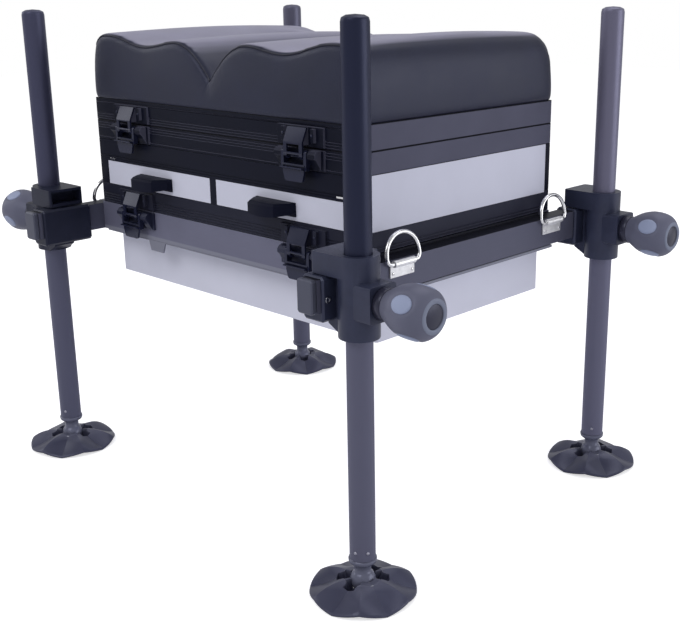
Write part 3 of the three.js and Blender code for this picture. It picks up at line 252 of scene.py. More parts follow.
# Bands in millimetres that are painted by their place, with the softness of their edges
BAND_SOFT = 0.2
CUSHION_LINE = span("lid_frame", "z")[1] + 0.05
# The joints between the frames are painted black as the shade in their gaps.
JOINT_SHADE_LINES, JOINT_HALF = (LID_LINE, CUSHION_LINE), 0.9
# The first band is painted shadow along the front bar's lower edge; the second is the dark latch bases.
BAR_SHADOW_BAND, LATCH_BASE = (275.0, 281.0), (-170.0, -152.9)
# Painted shadow and shade on the base box: grey behind the bars, black at its rim.
BASE_SHADOW_BAND, BASE_RIM_SHADE = (273.2, 310.0), (306.6, 310.0)
# Painted light and shade: the legs change tone above their castings, and the feet are lighter on their
# hubs.
LEG_SHADE, HUB_SHADE = (260.0, 330.0), (13.5, 16.5)


def anodised(name, color, rough, shadow_tone=None):
    """Satin anodised bar along x. The front bar is painted grey along its lower edge as the shadow of the
    bar on the base box, and has dark latch bases.
    """
    s = Shader(name, color, rough, 0.2)
    paint = s.clouded(color, 0.08)
    if shadow_tone:
        # Painted shadow: grey band along the front bar's lower edge.
        paint = s.mixed(paint, shadow_tone, s.band("Z", *BAR_SHADOW_BAND))
        paint = s.mixed(paint, LATCH_TONE, s.band("Y", *LATCH_BASE))
    return s.drawn("x", paint)


def side_bar(name, color, rough):
    """Anodised bar along y, whose top is painted black as the shade of the cassette above it."""
    s = Shader(name, color, rough, 0.15, 0.4)
    # Painted shade: faces that point up take the black of the shade under the cassette.
    return s.drawn("y", s.mixed(s.clouded(color, 0.06), SHADE_BLACK, s.facing("Z", 0.5, 0.8)))


def leg_tube(name, low, high, rough):
    """Satin tube with one tone under its casting and another above it, painted as the light and shade that
    fall on the leg.
    """
    s = Shader(name, low, rough, 0.3)
    return s.drawn("z", s.mixed(low, high, s.height(*LEG_SHADE)))


def profile_black(name, front, side, rough, specular):
    """Ribbed profile whose front and back are painted darker than its sides as shade, with joints painted
    black as the shade in their gaps.
    """
    s = Shader(name, side, rough, 0.0, specular)
    # Painted shade: the front and back faces are painted darker than the sides.
    paint = s.mixed(s.clouded(side, 0.08), s.clouded(front, 0.1), s.facing("Y", 0.55, 0.8, either_way=True))
    # Painted shade: black bands in the joints between the frames.
    for line in JOINT_SHADE_LINES:
        paint = s.mixed(paint, SHADE_BLACK, s.band("Z", line - JOINT_HALF, line + JOINT_HALF))
    return s.drawn("x", paint, 0.04, 0.1)


def silver(name, color, rough, shadow_tone=None):
    """Fine satin silver sheet. The base box is painted grey behind the bars as their shadow, and painted
    black at its rim as the shade between the cassette and the bars.
    """
    s = Shader(name, color, rough, 0.0, 0.25)
    paint = s.clouded(color, 0.03)
    if shadow_tone:
        # Painted shadow and shade: grey behind the bars, black at the rim.
        paint = s.mixed(paint, shadow_tone, s.band("Z", *BASE_SHADOW_BAND))
        paint = s.mixed(paint, SHADE_BLACK, s.band("Z", *BASE_RIM_SHADE))
    return s.drawn("x", paint, strength=0.08)


def plastic(name, color, rough, texture=0.12, specular=0.5, hub=None):
    """Moulded plastic with a fine texture. The feet are painted lighter on their hubs, as painted light on
    their tops.
    """
    s = Shader(name, color, rough, specular=specular)
    fine = s.noise(PLASTIC_GRAIN, 2)
    clouds = s.noise(PLASTIC_CLOUDS)
    paint = s.varied(color, clouds, 0.9, 1.1)
    # Painted light: lighter above a height, on the tops of the feet's hubs.
    s.paint(s.mixed(paint, hub, s.height(*HUB_SHADE)) if hub else paint)
    s.vary_rough(clouds, 0.05)
    s.bump((fine, texture, 0.00012))
    return s.mat


def powder(name, color, rough, specular=0.5):
    """Powder coat over a casting: fine orange peel."""
    s = Shader(name, color, rough, specular=specular)
    peel = s.noise(650, 2, 0.45)
    swell = s.noise(60)
    s.paint(s.varied(color, swell, 0.9, 1.12))
    s.vary_rough(peel, 0.05)
    s.bump((swell, 0.08, 0.0006), (peel, 0.16, 0.00015))
    return s.mat


def plated(name, color, rough, metal=1.0):
    """Plated steel with faint wear."""
    s = Shader(name, color, rough, metal)
    wear = s.noise(160, 4, 0.6)
    s.paint(s.varied(color, wear, 0.86, 1.05))
    s.vary_rough(wear, 0.05)
    s.bump((wear, 0.05, 0.0002))
    return s.mat


def grained_vinyl(name, color, top, rough):
    """Vinyl with a fine leather grain, soft creases and a dusty sheen, and a top painted lighter as a
    painted reflection.
    """
    s = Shader(name, color, rough, specular=0.4)
    s.set(s.bsdf, "Sheen Weight", 0.1)
    s.set(s.bsdf, "Sheen Roughness", 0.35)
    s.set(s.bsdf, "Sheen Tint", (0.86, 0.84, 1.0, 1))
    cells = s.voronoi(560, "DISTANCE_TO_EDGE")
    pebble = s.voronoi(900)
    creases = s.noise(26, 5, 0.62)
    sides, lit = s.varied(color, creases, 0.86, 1.14), s.varied(top, creases, 0.9, 1.1)
    # Painted reflection: faces that point up take the much lighter top colour.
    s.paint(s.mixed(sides, lit, s.facing("Z", 0.78, 0.98)))
    s.vary_rough(creases, 0.06)
    edge = s.ranged(cells, 0.0, 1.0, 0.0, 0.09)
    s.bump((creases, 0.18, 0.0012), (pebble, 0.12, 0.0002), (edge, 0.22, 0.00016))
    return s.mat


def board(name, color):
    """Pressed board with long fibres."""
    s = Shader(name, color, 0.7)
    fibres = s.noise(90, 5, 0.6, (0.12, 1, 1))
    s.paint(s.varied(color, fibres, 0.8, 1.2))
    s.bump((fibres, 0.2, 0.0004))
    return s.mat


MATS = {
    "bar_black": anodised("bar_black", BAR_TONE, 0.45),
    "frame_black": profile_black("frame_black", (0.004, 0.005, 0.013), (0.082, 0.083, 0.125), 0.42, 0.12),
    "silver_sheet": silver("silver_sheet", (0.60, 0.61, 0.73), 0.55),
    "black_plastic": plastic("black_plastic", (0.005, 0.006, 0.015), 0.38, specular=0.11),
    "cast_black": powder("cast_black", (0.025, 0.029, 0.056), 0.36, 0.45),
    "foot_plastic": plastic(
        "foot_plastic", (0.046, 0.048, 0.082), 0.34, specular=0.45, hub=(0.085, 0.088, 0.130)
    ),
    "knob_grip": plastic("knob_grip", (0.108, 0.112, 0.162), 0.46, 0.2, specular=0.45),
    "tube_black": leg_tube("tube_black", TUBE_TONE, (0.110, 0.108, 0.160), 0.38),
    # The second colour is the painted reflection on the cushion's top.
    "vinyl": grained_vinyl("vinyl", (0.011, 0.013, 0.031), (0.25, 0.245, 0.34), 0.42),
    "board": board("board", (0.03, 0.028, 0.026)),
    "hinge_steel": plated("hinge_steel", (0.5, 0.5, 0.52), 0.3),
    "latch_black": plastic("latch_black", LATCH_TONE, 0.2, 0.06, specular=0.35),
    "bright_nickel": plated("bright_nickel", (0.80, 0.80, 0.82), 0.16),
    "pressed_steel": plated("pressed_steel", (0.90, 0.90, 0.92), 0.34, 0.5),
}
OWN_MATS = {
    "leg_block_fl": powder("cast_shaded", (0.011, 0.013, 0.028), 0.4, 0.3),
    # Painted light and shadow: the base box is a lighter copy of the silver sheet for the light from the
    # floor, painted grey and black where the bars shade it.
    "base_box": silver("silver_base", (0.66, 0.67, 0.79), 0.55, shadow_tone=(0.33, 0.35, 0.44)),
    "front_bar": anodised("front_bar", BAR_TONE, 0.45, shadow_tone=SHADOW_GREY),
    # Painted shade: the lower frame is a darker copy of the frame black, for the shade it lies in.
    "lower_frame": profile_black("frame_low_shaded", (0.012, 0.013, 0.026), (0.022, 0.023, 0.040), 0.42, 0.15),
    # Painted light and shade: each leg has its own lighter and darker copies of the tube's black.
    "leg_fr": leg_tube("tube_front_right", TUBE_TONE, (0.010, 0.013, 0.036), 0.38),
    "leg_fl": leg_tube("tube_front_left", (0.090, 0.092, 0.145), (0.056, 0.058, 0.105), 0.38),
    "leg_br": leg_tube("tube_back_right", (0.125, 0.125, 0.190), (0.150, 0.145, 0.215), 0.38),
}
for mark, side_name in (("l", "left"), ("r", "right")):
    OWN_MATS[f"{side_name}_bar"] = side_bar(f"side_bar_{side_name}", SIDE_TONE, 0.45)
    OWN_MATS[f"bar_cap_{mark}"] = plastic(f"bar_cap_{side_name}", CAP_TONE, 0.4)
    OWN_MATS[f"drawer_handle_{mark}"] = plastic(f"handle_{side_name}", HANDLE_TONE, 0.5, 0.1, specular=0.1)
for corner in CORNERS:
    OWN_MATS[f"ring_bracket_{corner}"] = MATS["pressed_steel"]
BALL = powder("ball", (0.12, 0.125, 0.18), 0.22)
# Painted shadow: plates in the grey of the base box where the bars shade it.
SHADOW_PLATE = silver("shadow_grey_sheet", SHADOW_GREY, 0.55)
SEAM = plastic("seam", (0.010, 0.010, 0.018), 0.5)
INLAY = plastic("inlay", (0.27, 0.31, 0.45), 0.45, 0.15)
END_RING = plastic("end_ring", (0.17, 0.19, 0.26), 0.5, 0.3)
END_DISC = plastic("end_disc", (0.02, 0.02, 0.036), 0.3)
LEG_RIVET = plated("leg_rivet", (0.42, 0.42, 0.50), 0.3)
SCREW = plated("screw", (0.30, 0.31, 0.36), 0.28)


# Rounded edges of the CAD nodes: pressed and moulded parts, bars, and all others
FINE_PARTS = ("latch", "ring_bracket", "drawer_handle", "hinge")
FINE_EDGE, BAR_EDGE, PLAIN_EDGE = 0.2, 0.9, 0.5
CAD_EDGE_ANGLE, WELD_REACH = 28, 0.01


def shade_smooth(mesh):
    mesh.polygons.foreach_set("use_smooth", [True] * len(mesh.polygons))


def edges(obj, width, angle=35, harden=True):
    """Rounds the edges that are sharper than an angle."""
    bevel = obj.modifiers.new("edges", "BEVEL")
    bevel.width = width * MM
    bevel.segments = 2
    bevel.limit_method = "ANGLE"
    bevel.angle_limit = math.radians(angle)
    bevel.harden_normals = harden
    return obj


def dress(node):
    """Gives a CAD node its material and small rounded edges."""
    obj = NODES[node]
    obj.data.materials.clear()
    obj.data.materials.append(OWN_MATS.get(node) or MATS[SLOT_OF[node]])
    shade_smooth(obj.data)
    weld = obj.modifiers.new("weld", "WELD")
    weld.merge_threshold = WELD_REACH * MM
    width = BAR_EDGE if node.endswith("bar") else PLAIN_EDGE
    if any(word in node for word in FINE_PARTS):
        width = FINE_EDGE
    edges(obj, width, CAD_EDGE_ANGLE, harden=False)
    even = obj.modifiers.new("even", "WEIGHTED_NORMAL")
    even.weight = 100


# Pieces of the scene
def placed(points, at, turn=None):
    """Points turned by a matrix and moved to a place."""
    turn = turn or Matrix.Identity(3)
    return [tuple(turn @ Vector(point) + Vector(at)) for point in points]


def piece(name, form, body, slot, at=None, turn=None, replaced=(), mat=None):
    """A form of points and faces, moved to its place, that rides on a body and takes a slot's finish."""
    points, faces = form
    if at:
        points = placed(points, at, turn)
    mesh = bpy.data.meshes.new(name)
    mesh.from_pydata([tuple(c * MM for c in point) for point in points], [], faces)
    mesh.validate()
    shade_smooth(mesh)
    mesh.materials.append(mat or MATS[slot])
    obj = bpy.data.objects.new(name, mesh)
    bpy.context.scene.collection.objects.link(obj)
    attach(obj, body)
    if replaced:
        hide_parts(*replaced)
    return obj


def turn_z(degrees):
    return Matrix.Rotation(math.radians(degrees), 3, "Z")


def towards(direction):
    """Turns +Z into a direction."""
    return Vector((0, 0, 1)).rotation_difference(Vector(direction)).to_matrix()


def lerp(a, b, share):
    return a + (b - a) * share


def raised(profile, by):
    """A profile of (radius, height) moved up."""
    return [(radius, height + by) for radius, height in profile]


def revolve(profile, steps, shape=None):
    """Points and faces of a profile of (radius, height) turned about z, closed where the radius is zero."""
    points, faces, rings = [], [], []
    for radius, height in profile:
        if radius <= 0:
            rings.append([len(points)] * steps)
            points.append((0, 0, height))
            continue
        rings.append(range(len(points), len(points) + steps))
        for k in range(steps):
            angle = 2 * math.pi * k / steps
            r = shape(radius, height, angle) if shape else radius
            points.append((r * math.cos(angle), r * math.sin(angle), height))
    for low, high in zip(rings, rings[1:]):
        for k in range(steps):
            n = (k + 1) % steps
            face = list(dict.fromkeys((low[k], low[n], high[n], high[k])))
            if len(face) > 2:
                faces.append(face)
    return points, faces


def tube(line, radius, sides, ring=False):
    """Points and faces of a round wire along a line of points, closed into a ring or with flat ends."""
    points, faces = [], []
    count = len(line)
    line = [Vector(p) for p in line]
    side = None
    for i, p in enumerate(line):
        before = line[i - 1] if ring or i else p
        after = line[(i + 1) % count] if ring or i + 1 < count else p
        tangent = (after - before).normalized()
        seed = side or (Vector((1, 0, 0)) if abs(tangent.x) < 0.9 else Vector((0, 0, 1)))
        side = (seed - tangent * seed.dot(tangent)).normalized()
        other = tangent.cross(side)
        for k in range(sides):
            angle = 2 * math.pi * k / sides
            points.append(p + side * radius * math.cos(angle) + other * radius * math.sin(angle))
    for i in range(count if ring else count - 1):
        j = (i + 1) % count
        for k in range(sides):
            n = (k + 1) % sides
            faces.append((i * sides + k, i * sides + n, j * sides + n, j * sides + k))
    if not ring:
        faces.append(tuple(range(sides))[::-1])
        faces.append(tuple(range((count - 1) * sides, count * sides)))
    return points, faces


def plate(name, low, high, body, slot, bevel, mat=None):
    """Thin block between two corners with rounded edges."""
    spans = list(zip(low, high))
    points = [(spans[0][i & 1], spans[1][i >> 1 & 1], spans[2][i >> 2]) for i in range(8)]
    faces = [(0, 2, 3, 1), (4, 5, 7, 6), (0, 1, 5, 4), (2, 6, 7, 3), (0, 4, 6, 2), (1, 3, 7, 5)]
    return edges(piece(name, (points, faces), body, slot, mat=mat), bevel)


def catmull(t, a, b, c, d):
    """Value at share t of the way from b to c, on a smooth line through a, b, c and d."""
    square, cube = 2 * a - 5 * b + 4 * c - d, 3 * b - a - 3 * c + d
    return 0.5 * (2 * b + (c - a) * t + square * t * t + cube * t**3)


def smooth_line(points, steps):
    """Catmull-Rom line through (a, b) points."""
    line = []
    for i in range(len(points) - 1):
        around = [points[max(0, min(len(points) - 1, i + k))] for k in (-1, 0, 1, 2)]
        for k in range(steps):
            line.append(tuple(catmull(k / steps, *values) for values in zip(*around)))
    return [*line, points[-1]]


# Small fasteners: a rivet's dome in shares of radius and rise, and the sizes of a cap screw's head
RIVET_DOME = [(0, -0.4), (1, -0.4), (1, 0.1), (0.94, 0.45), (0.75, 0.78), (0.42, 0.95), (0, 1)]
RIVET_STEPS, SCREW_STEPS = 24, 36
SCREW_SUNK, SCREW_PROUD, SCREW_RECESS, SCREW_CHAMFER = 0.4, 0.6, 1.6, 0.35
KEY_SHARE, KEY_MOUTH = 0.52, 1.15


def rivet(name, at, facing, size, body, slot, mat=None):
    """Domed rivet head, its size a radius and a rise, on a face that points in a direction."""
    radius, rise = size
    dome = [(share * radius, height * rise if height > 0 else height) for share, height in RIVET_DOME]
    piece(name, revolve(dome, RIVET_STEPS), body, slot, at, towards(facing), mat=mat)


def socket_screw(name, at, facing, radius, body, slot="hinge_steel"):
    """Head of a cap screw with a hexagon recess."""
    key = radius * KEY_SHARE
    mouth = key * KEY_MOUTH

    def hexagon(r, height, angle):
        if r > mouth:
            return r
        return r * math.cos(math.pi / 6) / math.cos(angle % (math.pi / 3) - math.pi / 6)

    profile = [(0, -SCREW_SUNK), (radius, -SCREW_SUNK), (radius, SCREW_PROUD - SCREW_CHAMFER)]
    profile += [(radius - SCREW_CHAMFER, SCREW_PROUD), (mouth, SCREW_PROUD), (key, SCREW_PROUD / 2)]
    profile += [(key, -SCREW_RECESS), (0, -SCREW_RECESS)]
    piece(name, revolve(profile, SCREW_STEPS, hexagon), body, slot, at, towards(facing), mat=SCREW)


# Clamp knobs: shares of the reach and of the swell, from neck to belly and from belly to end
KNOB_REACH, KNOB_NECK, KNOB_BELLY, KNOB_END = 57.5, 12.5, 24.9, 15.2
KNOB_SWELL = [(0.0, 0.0), (0.1, 0.05), (0.2, 0.26), (0.38, 0.7), (0.56, 0.93), (0.7, 1.0)]
KNOB_FALL = [(0.82, 0.86), (0.91, 0.6), (0.97, 0.27), (1.0, 0.0)]
KNOB_FACE = CLEARANCE + KNOB_REACH
KNOB_STEPS, KNOB_EDGE, KNOB_EDGE_ANGLE = 96, 0.4, 50
RING_OUTER, RING_INNER = 15.5, 11.3
RECESS_DEPTH, RING_DEPTH, RING_PLAY = 0.8, 0.7, 0.3
STUD_RADIUS, STUD_REACH, STUD_STEPS = 4, 5, 24
TURNED_STEPS, FACE_STEPS = 56, 72

# Flats of the grip with their oval inlays
FLAT_TURNS = [60, 150, 240, 330]
FLAT_HEIGHT, FLAT_RADIUS, FLAT_FADE, FLAT_SHARE, FLAT_SPREAD = 22.0, 13.0, 2.0, 0.66, 1.0
FLAT_MIDDLE = CLEARANCE + KNOB_REACH * FLAT_SHARE
INLAY_LENGTH, INLAY_WIDTH, INLAY_RISE = 21.5, 16.4, 1.7
INLAY_DOME = [(0, -0.8), (1, -0.8), (1, 0.15), (0.97, 0.5), (0.8, 0.8), (0.5, 0.95), (0, 1)]

# Outlines of (radius, height): the collar from the boss, the others from the face of the knob
COLLAR = [(12.0, 0.0), (14.2, 0.0), (14.9, 0.6), (14.9, 7.1), (14.4, 8.1), (13.6, 8.3)]
RECESS = [(KNOB_END - 0.6, 0.1), (RING_INNER, 0.0), (RING_INNER, -RECESS_DEPTH), (0, -RECESS_DEPTH)]
FACE_RING = [(RING_INNER - RING_PLAY, -RING_DEPTH), (RING_OUTER, -RING_DEPTH), (RING_OUTER, 0.1)]
FACE_RING += [(RING_OUTER - 0.6, RING_DEPTH), (RING_INNER + 0.4, RING_DEPTH)]
FACE_RING += [(RING_INNER - RING_PLAY, 0.2), (RING_INNER - RING_PLAY, -RING_DEPTH)]
DISC_RADIUS = RING_INNER - RING_PLAY - 0.1
FACE_DISC = [(0, -RING_DEPTH), (DISC_RADIUS, -RING_DEPTH), (DISC_RADIUS, -0.2)]
FACE_DISC += [(DISC_RADIUS - 0.5, 0.0), (0, 0.2)]


def knob_radius(radius, height, angle):
    """Radius with the shallow flats worked in softly. Angle zero points up when the knob lies along +x."""
    for turn in FLAT_TURNS:
        off = (angle - math.radians(turn) + math.pi) % (2 * math.pi) - math.pi
        depth = radius * math.cos(off) - FLAT_HEIGHT
        across = math.hypot(radius * math.sin(off), height - FLAT_MIDDLE)
        if depth > 0 and abs(off) < FLAT_SPREAD:
            fade = min(1.0, max(0.0, (FLAT_RADIUS + FLAT_FADE / 2 - across) / FLAT_FADE))
            radius -= depth * fade / math.cos(off)
    return radius


def knob(corner, long_name, side, x, y):
    """Grip, collar, stud, end ring, end disc and oval inlays of one knob."""
    lay = Matrix(((0, 0, side), (0, -side, 0), (1, 0, 0)))
    at = (x + side * BOSS_REACH, y, KNOB_Z)
    name, body = f"knob_{corner}", f"knob_{long_name}"
    key = [(share, lerp(KNOB_NECK, KNOB_BELLY, swell)) for share, swell in KNOB_SWELL]
    key += [(share, lerp(KNOB_END, KNOB_BELLY, swell)) for share, swell in KNOB_FALL]
    outline = [(radius, CLEARANCE + KNOB_REACH * share) for share, radius in smooth_line(key, 5)]
    grip = revolve([(0, CLEARANCE), *outline, *raised(RECESS, KNOB_FACE)], KNOB_STEPS, knob_radius)
    edges(piece(f"{name}.grip", grip, body, "knob_grip", at, lay, [name]), KNOB_EDGE, KNOB_EDGE_ANGLE)
    root = LEG_RADIUS + CLEARANCE - BOSS_REACH
    stud = [(0, root), (STUD_RADIUS, root), (STUD_RADIUS, STUD_REACH), (0, STUD_REACH)]
    for part, profile, steps, slot, mat in (
        ("collar", raised(COLLAR, CLEARANCE), TURNED_STEPS, "knob_grip", END_DISC),
        ("stud", stud, STUD_STEPS, "hinge_steel", None),
        ("ring", raised(FACE_RING, KNOB_FACE), FACE_STEPS, "knob_grip", END_RING),
        ("disc", raised(FACE_DISC, KNOB_FACE), FACE_STEPS, "knob_grip", END_DISC),
    ):
        piece(f"{name}.{part}", revolve(profile, steps), body, slot, at, lay, mat=mat)
    oval, faces = revolve(INLAY_DOME, TURNED_STEPS)
    faces = [face[::-1] for face in faces]
    flat = [(INLAY_LENGTH / 2 * a, INLAY_WIDTH / 2 * b, FLAT_HEIGHT + INLAY_RISE * c) for a, b, c in oval]
    for turn in FLAT_TURNS:
        cosine, sine = math.cos(math.radians(turn)), math.sin(math.radians(turn))
        outwards = Matrix(((0, -sine, cosine), (0, cosine, sine), (1, 0, 0)))
        inlay = placed(flat, (0, 0, FLAT_MIDDLE), outwards), faces
        piece(f"{name}.inlay_{turn}", inlay, body, "knob_grip", at, lay, mat=INLAY)


# D-rings, across and up from the middle of their straight side, and the rivets of their brackets
RING_WIRE, RING_HALF_BAR, RING_HALF_WIDTH, RING_SHOULDER, RING_RISE = 2.1, 17.0, 22.3, 8.0, 28.6
RING_BEND = [(RING_HALF_BAR, 0.0), (RING_HALF_BAR + 3.6, 1.6), (RING_HALF_WIDTH, 5.0)]
RING_ARC_STEPS, RING_SIDES = 12, 16
RING_X, RING_Z, RING_LEAN = mid("ring_bracket_br", "x"), 303.7, 8
BRACKET_RIVET, RIVET_IN, RIVET_ALONG, RIVET_DOWN = (1.7, 0.9), 1.9, 13.2, 9.5


def d_ring(corner, long_name, side):
    """Round wire of one D-ring and the two rivets of its bracket."""
    name, y = f"ring_{corner}", mid(f"ring_bracket_{corner}", "y")
    key = [(-RING_HALF_BAR, 0.0), (0.0, 0.0), *RING_BEND]
    for k in range(RING_ARC_STEPS + 1):
        angle = math.pi * k / RING_ARC_STEPS
        rise = RING_SHOULDER + (RING_RISE - RING_SHOULDER) * math.sin(angle)
        key.append((RING_HALF_WIDTH * math.cos(angle), rise))
    key += [(-across, up) for across, up in reversed(RING_BEND)]
    wire = tube([(0, a, b) for a, b in smooth_line(key, 3)[:-1]], RING_WIRE, RING_SIDES, ring=True)
    lean = Matrix.Rotation(math.radians(-RING_LEAN), 3, "Y")
    flip = Matrix.Rotation(math.pi if side < 0 else 0, 3, "Z")
    at = (side * RING_X, y, RING_Z)
    piece(f"{name}.wire", wire, f"ring_{long_name}", "bright_nickel", at, flip @ lean, [name])
    for hand, mark in HANDS:
        at = (side * (RING_X - RIVET_IN), y + hand * RIVET_ALONG, RING_Z - RIVET_DOWN)
        rivet(f"{name}.rivet_{mark}", at, (side, 0, 0), BRACKET_RIVET, "frame", "bright_nickel")


# Feet: a hub, a slope with ridges down to the rim, slots in the hub and a socket for the ball
FOOT_RADIUS, FOOT_HUB_RADIUS, FOOT_SOCKET = 51.0, 20.0, 12.9
FOOT_RADII = [FOOT_SOCKET, 13.4, 19.2, FOOT_HUB_RADIUS, 22, 25, 29, 33, 37, 41, 45, 48, 50.2, FOOT_RADIUS]
FOOT_STEPS, FOOT_RIDGES, FOOT_EDGE, FOOT_EDGE_ANGLE = 192, 6, 0.35, 24
RIDGE_PITCH = 2 * math.pi / FOOT_RIDGES
HUB_TOP, HUB_WAVE, HUB_CHAMFER, HUB_FLAT = 18.0, 1.6, 0.7, (13.0, 19.5)
SLOPE_TOP, SLOPE_CURVE = HUB_TOP - 1.2, 0.9
RIDGE_RISE, RIDGE_LEVEL, RIDGE_REACH, RIDGE_CURVE = 5.0, 0.3, 1.02, 0.8
RIM_LOW, RIM_WAVE, RIM_LIP, RIM_WALL, RIM_FOOT, RIM_INSET = 3.0, 4.2, 0.8, 1.4, 2.2, 1.2
SLOT_HALF_WIDTH, SLOT_FLOOR, SLOT_REACH = 5.6, 5.5, 24.0
FOOT_UNDERSIDE = [(40.0, 1.6), (FOOT_HUB_RADIUS, 2.5), (9.8, 2.5), (12.2, 9.0)]
FOOT_SCREW_X, FOOT_SCREW_TILT, FOOT_SCREW_RADIUS = 19.9, 0.25, 3.0

# Ball studs, as (radius, height) from the leg's bottom: the plug in the tube, then collar and neck
FOOT_BALL_Z, BALL_RADIUS, BALL_STEPS, NECK_RADIUS = 13.7, 12.2, 20, 8.0
PLUG = [(0, 17.5), (10.7, 17.5), (10.7, -CLEARANCE)]
NECK = [(13.5, -CLEARANCE), (13.5, -2.0), (13.0, -3.8), (11.2, -5.4), (8.9, -6.6), (NECK_RADIUS, -8.2)]
PIN_HALF_LENGTH, PIN_RADIUS, PIN_SIDES = 18.5, 2.0, 20


def foot_top(radius, angle):
    """Height of the foot's top before its slots, with crisp lines along the ridges."""
    wave = 1 - abs(2 * (angle / RIDGE_PITCH % 1) - 1)
    if radius <= FOOT_HUB_RADIUS:
        chamfer = 0 if HUB_FLAT[0] < radius < HUB_FLAT[1] else HUB_CHAMFER
        return HUB_TOP - chamfer - HUB_WAVE * (1 - wave)
    share = (radius - FOOT_HUB_RADIUS) / (FOOT_RADIUS - FOOT_HUB_RADIUS)
    slope = lerp(SLOPE_TOP, RIM_LOW + RIM_WAVE * wave, share**SLOPE_CURVE)
    swell = math.sin(math.pi * min(1, share * RIDGE_REACH)) ** RIDGE_CURVE
    return slope + RIDGE_RISE * (wave - RIDGE_LEVEL) * swell


def foot_section(angle):
    """Outline of the foot at an angle. The valleys that carry no screw have a slot in the hub."""
    valley = round(angle / RIDGE_PITCH)
    section = []
    for radius in FOOT_RADII:
        z = foot_top(radius, angle)
        across = abs(radius * math.sin(angle - valley * RIDGE_PITCH))
        if valley % 3 and radius < SLOT_REACH and across < SLOT_HALF_WIDTH:
            z = min(z, SLOT_FLOOR)
        section.append((radius, z))
    rim = section[-1][1] - RIM_LIP
    section[-1] = (FOOT_RADIUS, rim)
    section += [(FOOT_RADIUS, rim - RIM_WALL), (FOOT_RADIUS - RIM_INSET, max(0.0, rim - RIM_FOOT))]
    return section + FOOT_UNDERSIDE


def foot(corner, long_name, x, y, heading):
    """Moulded foot with the two screws that close its socket."""
    angles = [2 * math.pi * k / FOOT_STEPS for k in range(FOOT_STEPS)]
    points = [(r * math.cos(a), r * math.sin(a), z) for a in angles for r, z in foot_section(a)]
    count = len(points) // FOOT_STEPS
    faces = []
    for k in range(FOOT_STEPS):
        n = (k + 1) % FOOT_STEPS
        for i in range(count):
            j = (i + 1) % count
            faces.append((k * count + i, k * count + j, n * count + j, n * count + i))
    name, body, spin = f"foot_{corner}", f"foot_{long_name}", turn_z(heading)
    at = (x, y, 0)
    shell = piece(f"{name}.shell", (points, faces), body, "foot_plastic", at, spin, [name])
    edges(shell, FOOT_EDGE, FOOT_EDGE_ANGLE)
    for turn, way in ((0, 1), (180, -1)):
        spot = placed([(way * FOOT_SCREW_X, 0, FOOT_BALL_Z)], at, spin)[0]
        facing = spin @ Vector((way, 0, FOOT_SCREW_TILT))
        socket_screw(f"{name}.screw_{turn}", spot, facing, FOOT_SCREW_RADIUS, body, "bright_nickel")


def ball_stud(corner, long_name, x, y, heading):
    """Plug, collar, neck and ball under a leg, with the cross pin through the ball."""
    start = math.asin(NECK_RADIUS / BALL_RADIUS)
    turns = [lerp(start, math.pi, k / BALL_STEPS) for k in range(BALL_STEPS)]
    ball = [(BALL_RADIUS * math.sin(a), FOOT_BALL_Z + BALL_RADIUS * math.cos(a)) for a in turns]
    shaft = raised([*PLUG, *smooth_line(NECK, 4)], LEG_BOTTOM)
    turned = revolve([*shaft, *ball, (0, FOOT_BALL_Z - BALL_RADIUS)][::-1], TURNED_STEPS)
    name, body, at = f"foot_stud_{corner}", f"stud_{long_name}", (x, y, 0)
    piece(f"{name}.turned", turned, body, "cast_black", at, replaced=[name], mat=BALL)
    pin = tube([(way * PIN_HALF_LENGTH, 0, FOOT_BALL_Z) for way in (-1, 1)], PIN_RADIUS, PIN_SIDES)
    piece(f"{name}.pin", pin, body, "hinge_steel", at, turn_z(heading))


# Cushion, from the same outline as the CAD solid
CUSHION_BULGE, CROWN_RISE = 2.5, 3.0
CUSHION_BOTTOM = span("seat_cushion", "z")[0]
CUSHION_HALF_X = span("seat_cushion", "x")[1] - CUSHION_BULGE
CUSHION_HALF_Y = span("seat_cushion", "y")[1] - CUSHION_BULGE
CREST, INNER_CREST, TROUGH, VALLEY = 72.4, 67.8, 61.4, 30.5
CREST_SHARE, TROUGH_SHARE, OUTER_SHARE, VALLEY_CURVE = 0.27, 0.53, 0.84, 0.9
FRONT_RADIUS, BACK_RADIUS, SIDE_RADIUS, CORNER_RADIUS = 4.5, 20.0, 23.0, 5.0

# Grid of the cover's blank, its remesh, and its reach under the cushion's edge
COLUMNS, ROWS, WALLS, CROWDING = 96, 64, 8, 0.35
CUSHION_SHRINK, CUSHION_VOXEL = 0.6, 4.6
LOWEST_SHARE, WALL_FOOT_SHARE, BASE_SINK = 0.6, 0.3, 1.4
BLANK_HALF_X, BLANK_HALF_Y = CUSHION_HALF_X - CUSHION_SHRINK, CUSHION_HALF_Y - CUSHION_SHRINK

# Swelling of the cover: what is held, the furthest move, and the cloth
HELD_FOOT, HELD_VALLEY, HELD_CREST, HELD_CREST_FLOOR = 4, 0.1, 0.035, 45
HELD_SEAM_DEPTH, HELD_SEAM_REACH = 14, 6.0
CUSHION_CAP, CUSHION_FRAMES, QUICK_SWELL = 5.0, 20, 0.8
CLOTH = {
    "quality": 6,
    "mass": 0.4,
    "tension_stiffness": 60,
    "compression_stiffness": 60,
    "shear_stiffness": 30,
    "bending_stiffness": 20,
    "use_pressure": True,
    "uniform_pressure_force": 4,
    "vertex_group_mass": "held",
}

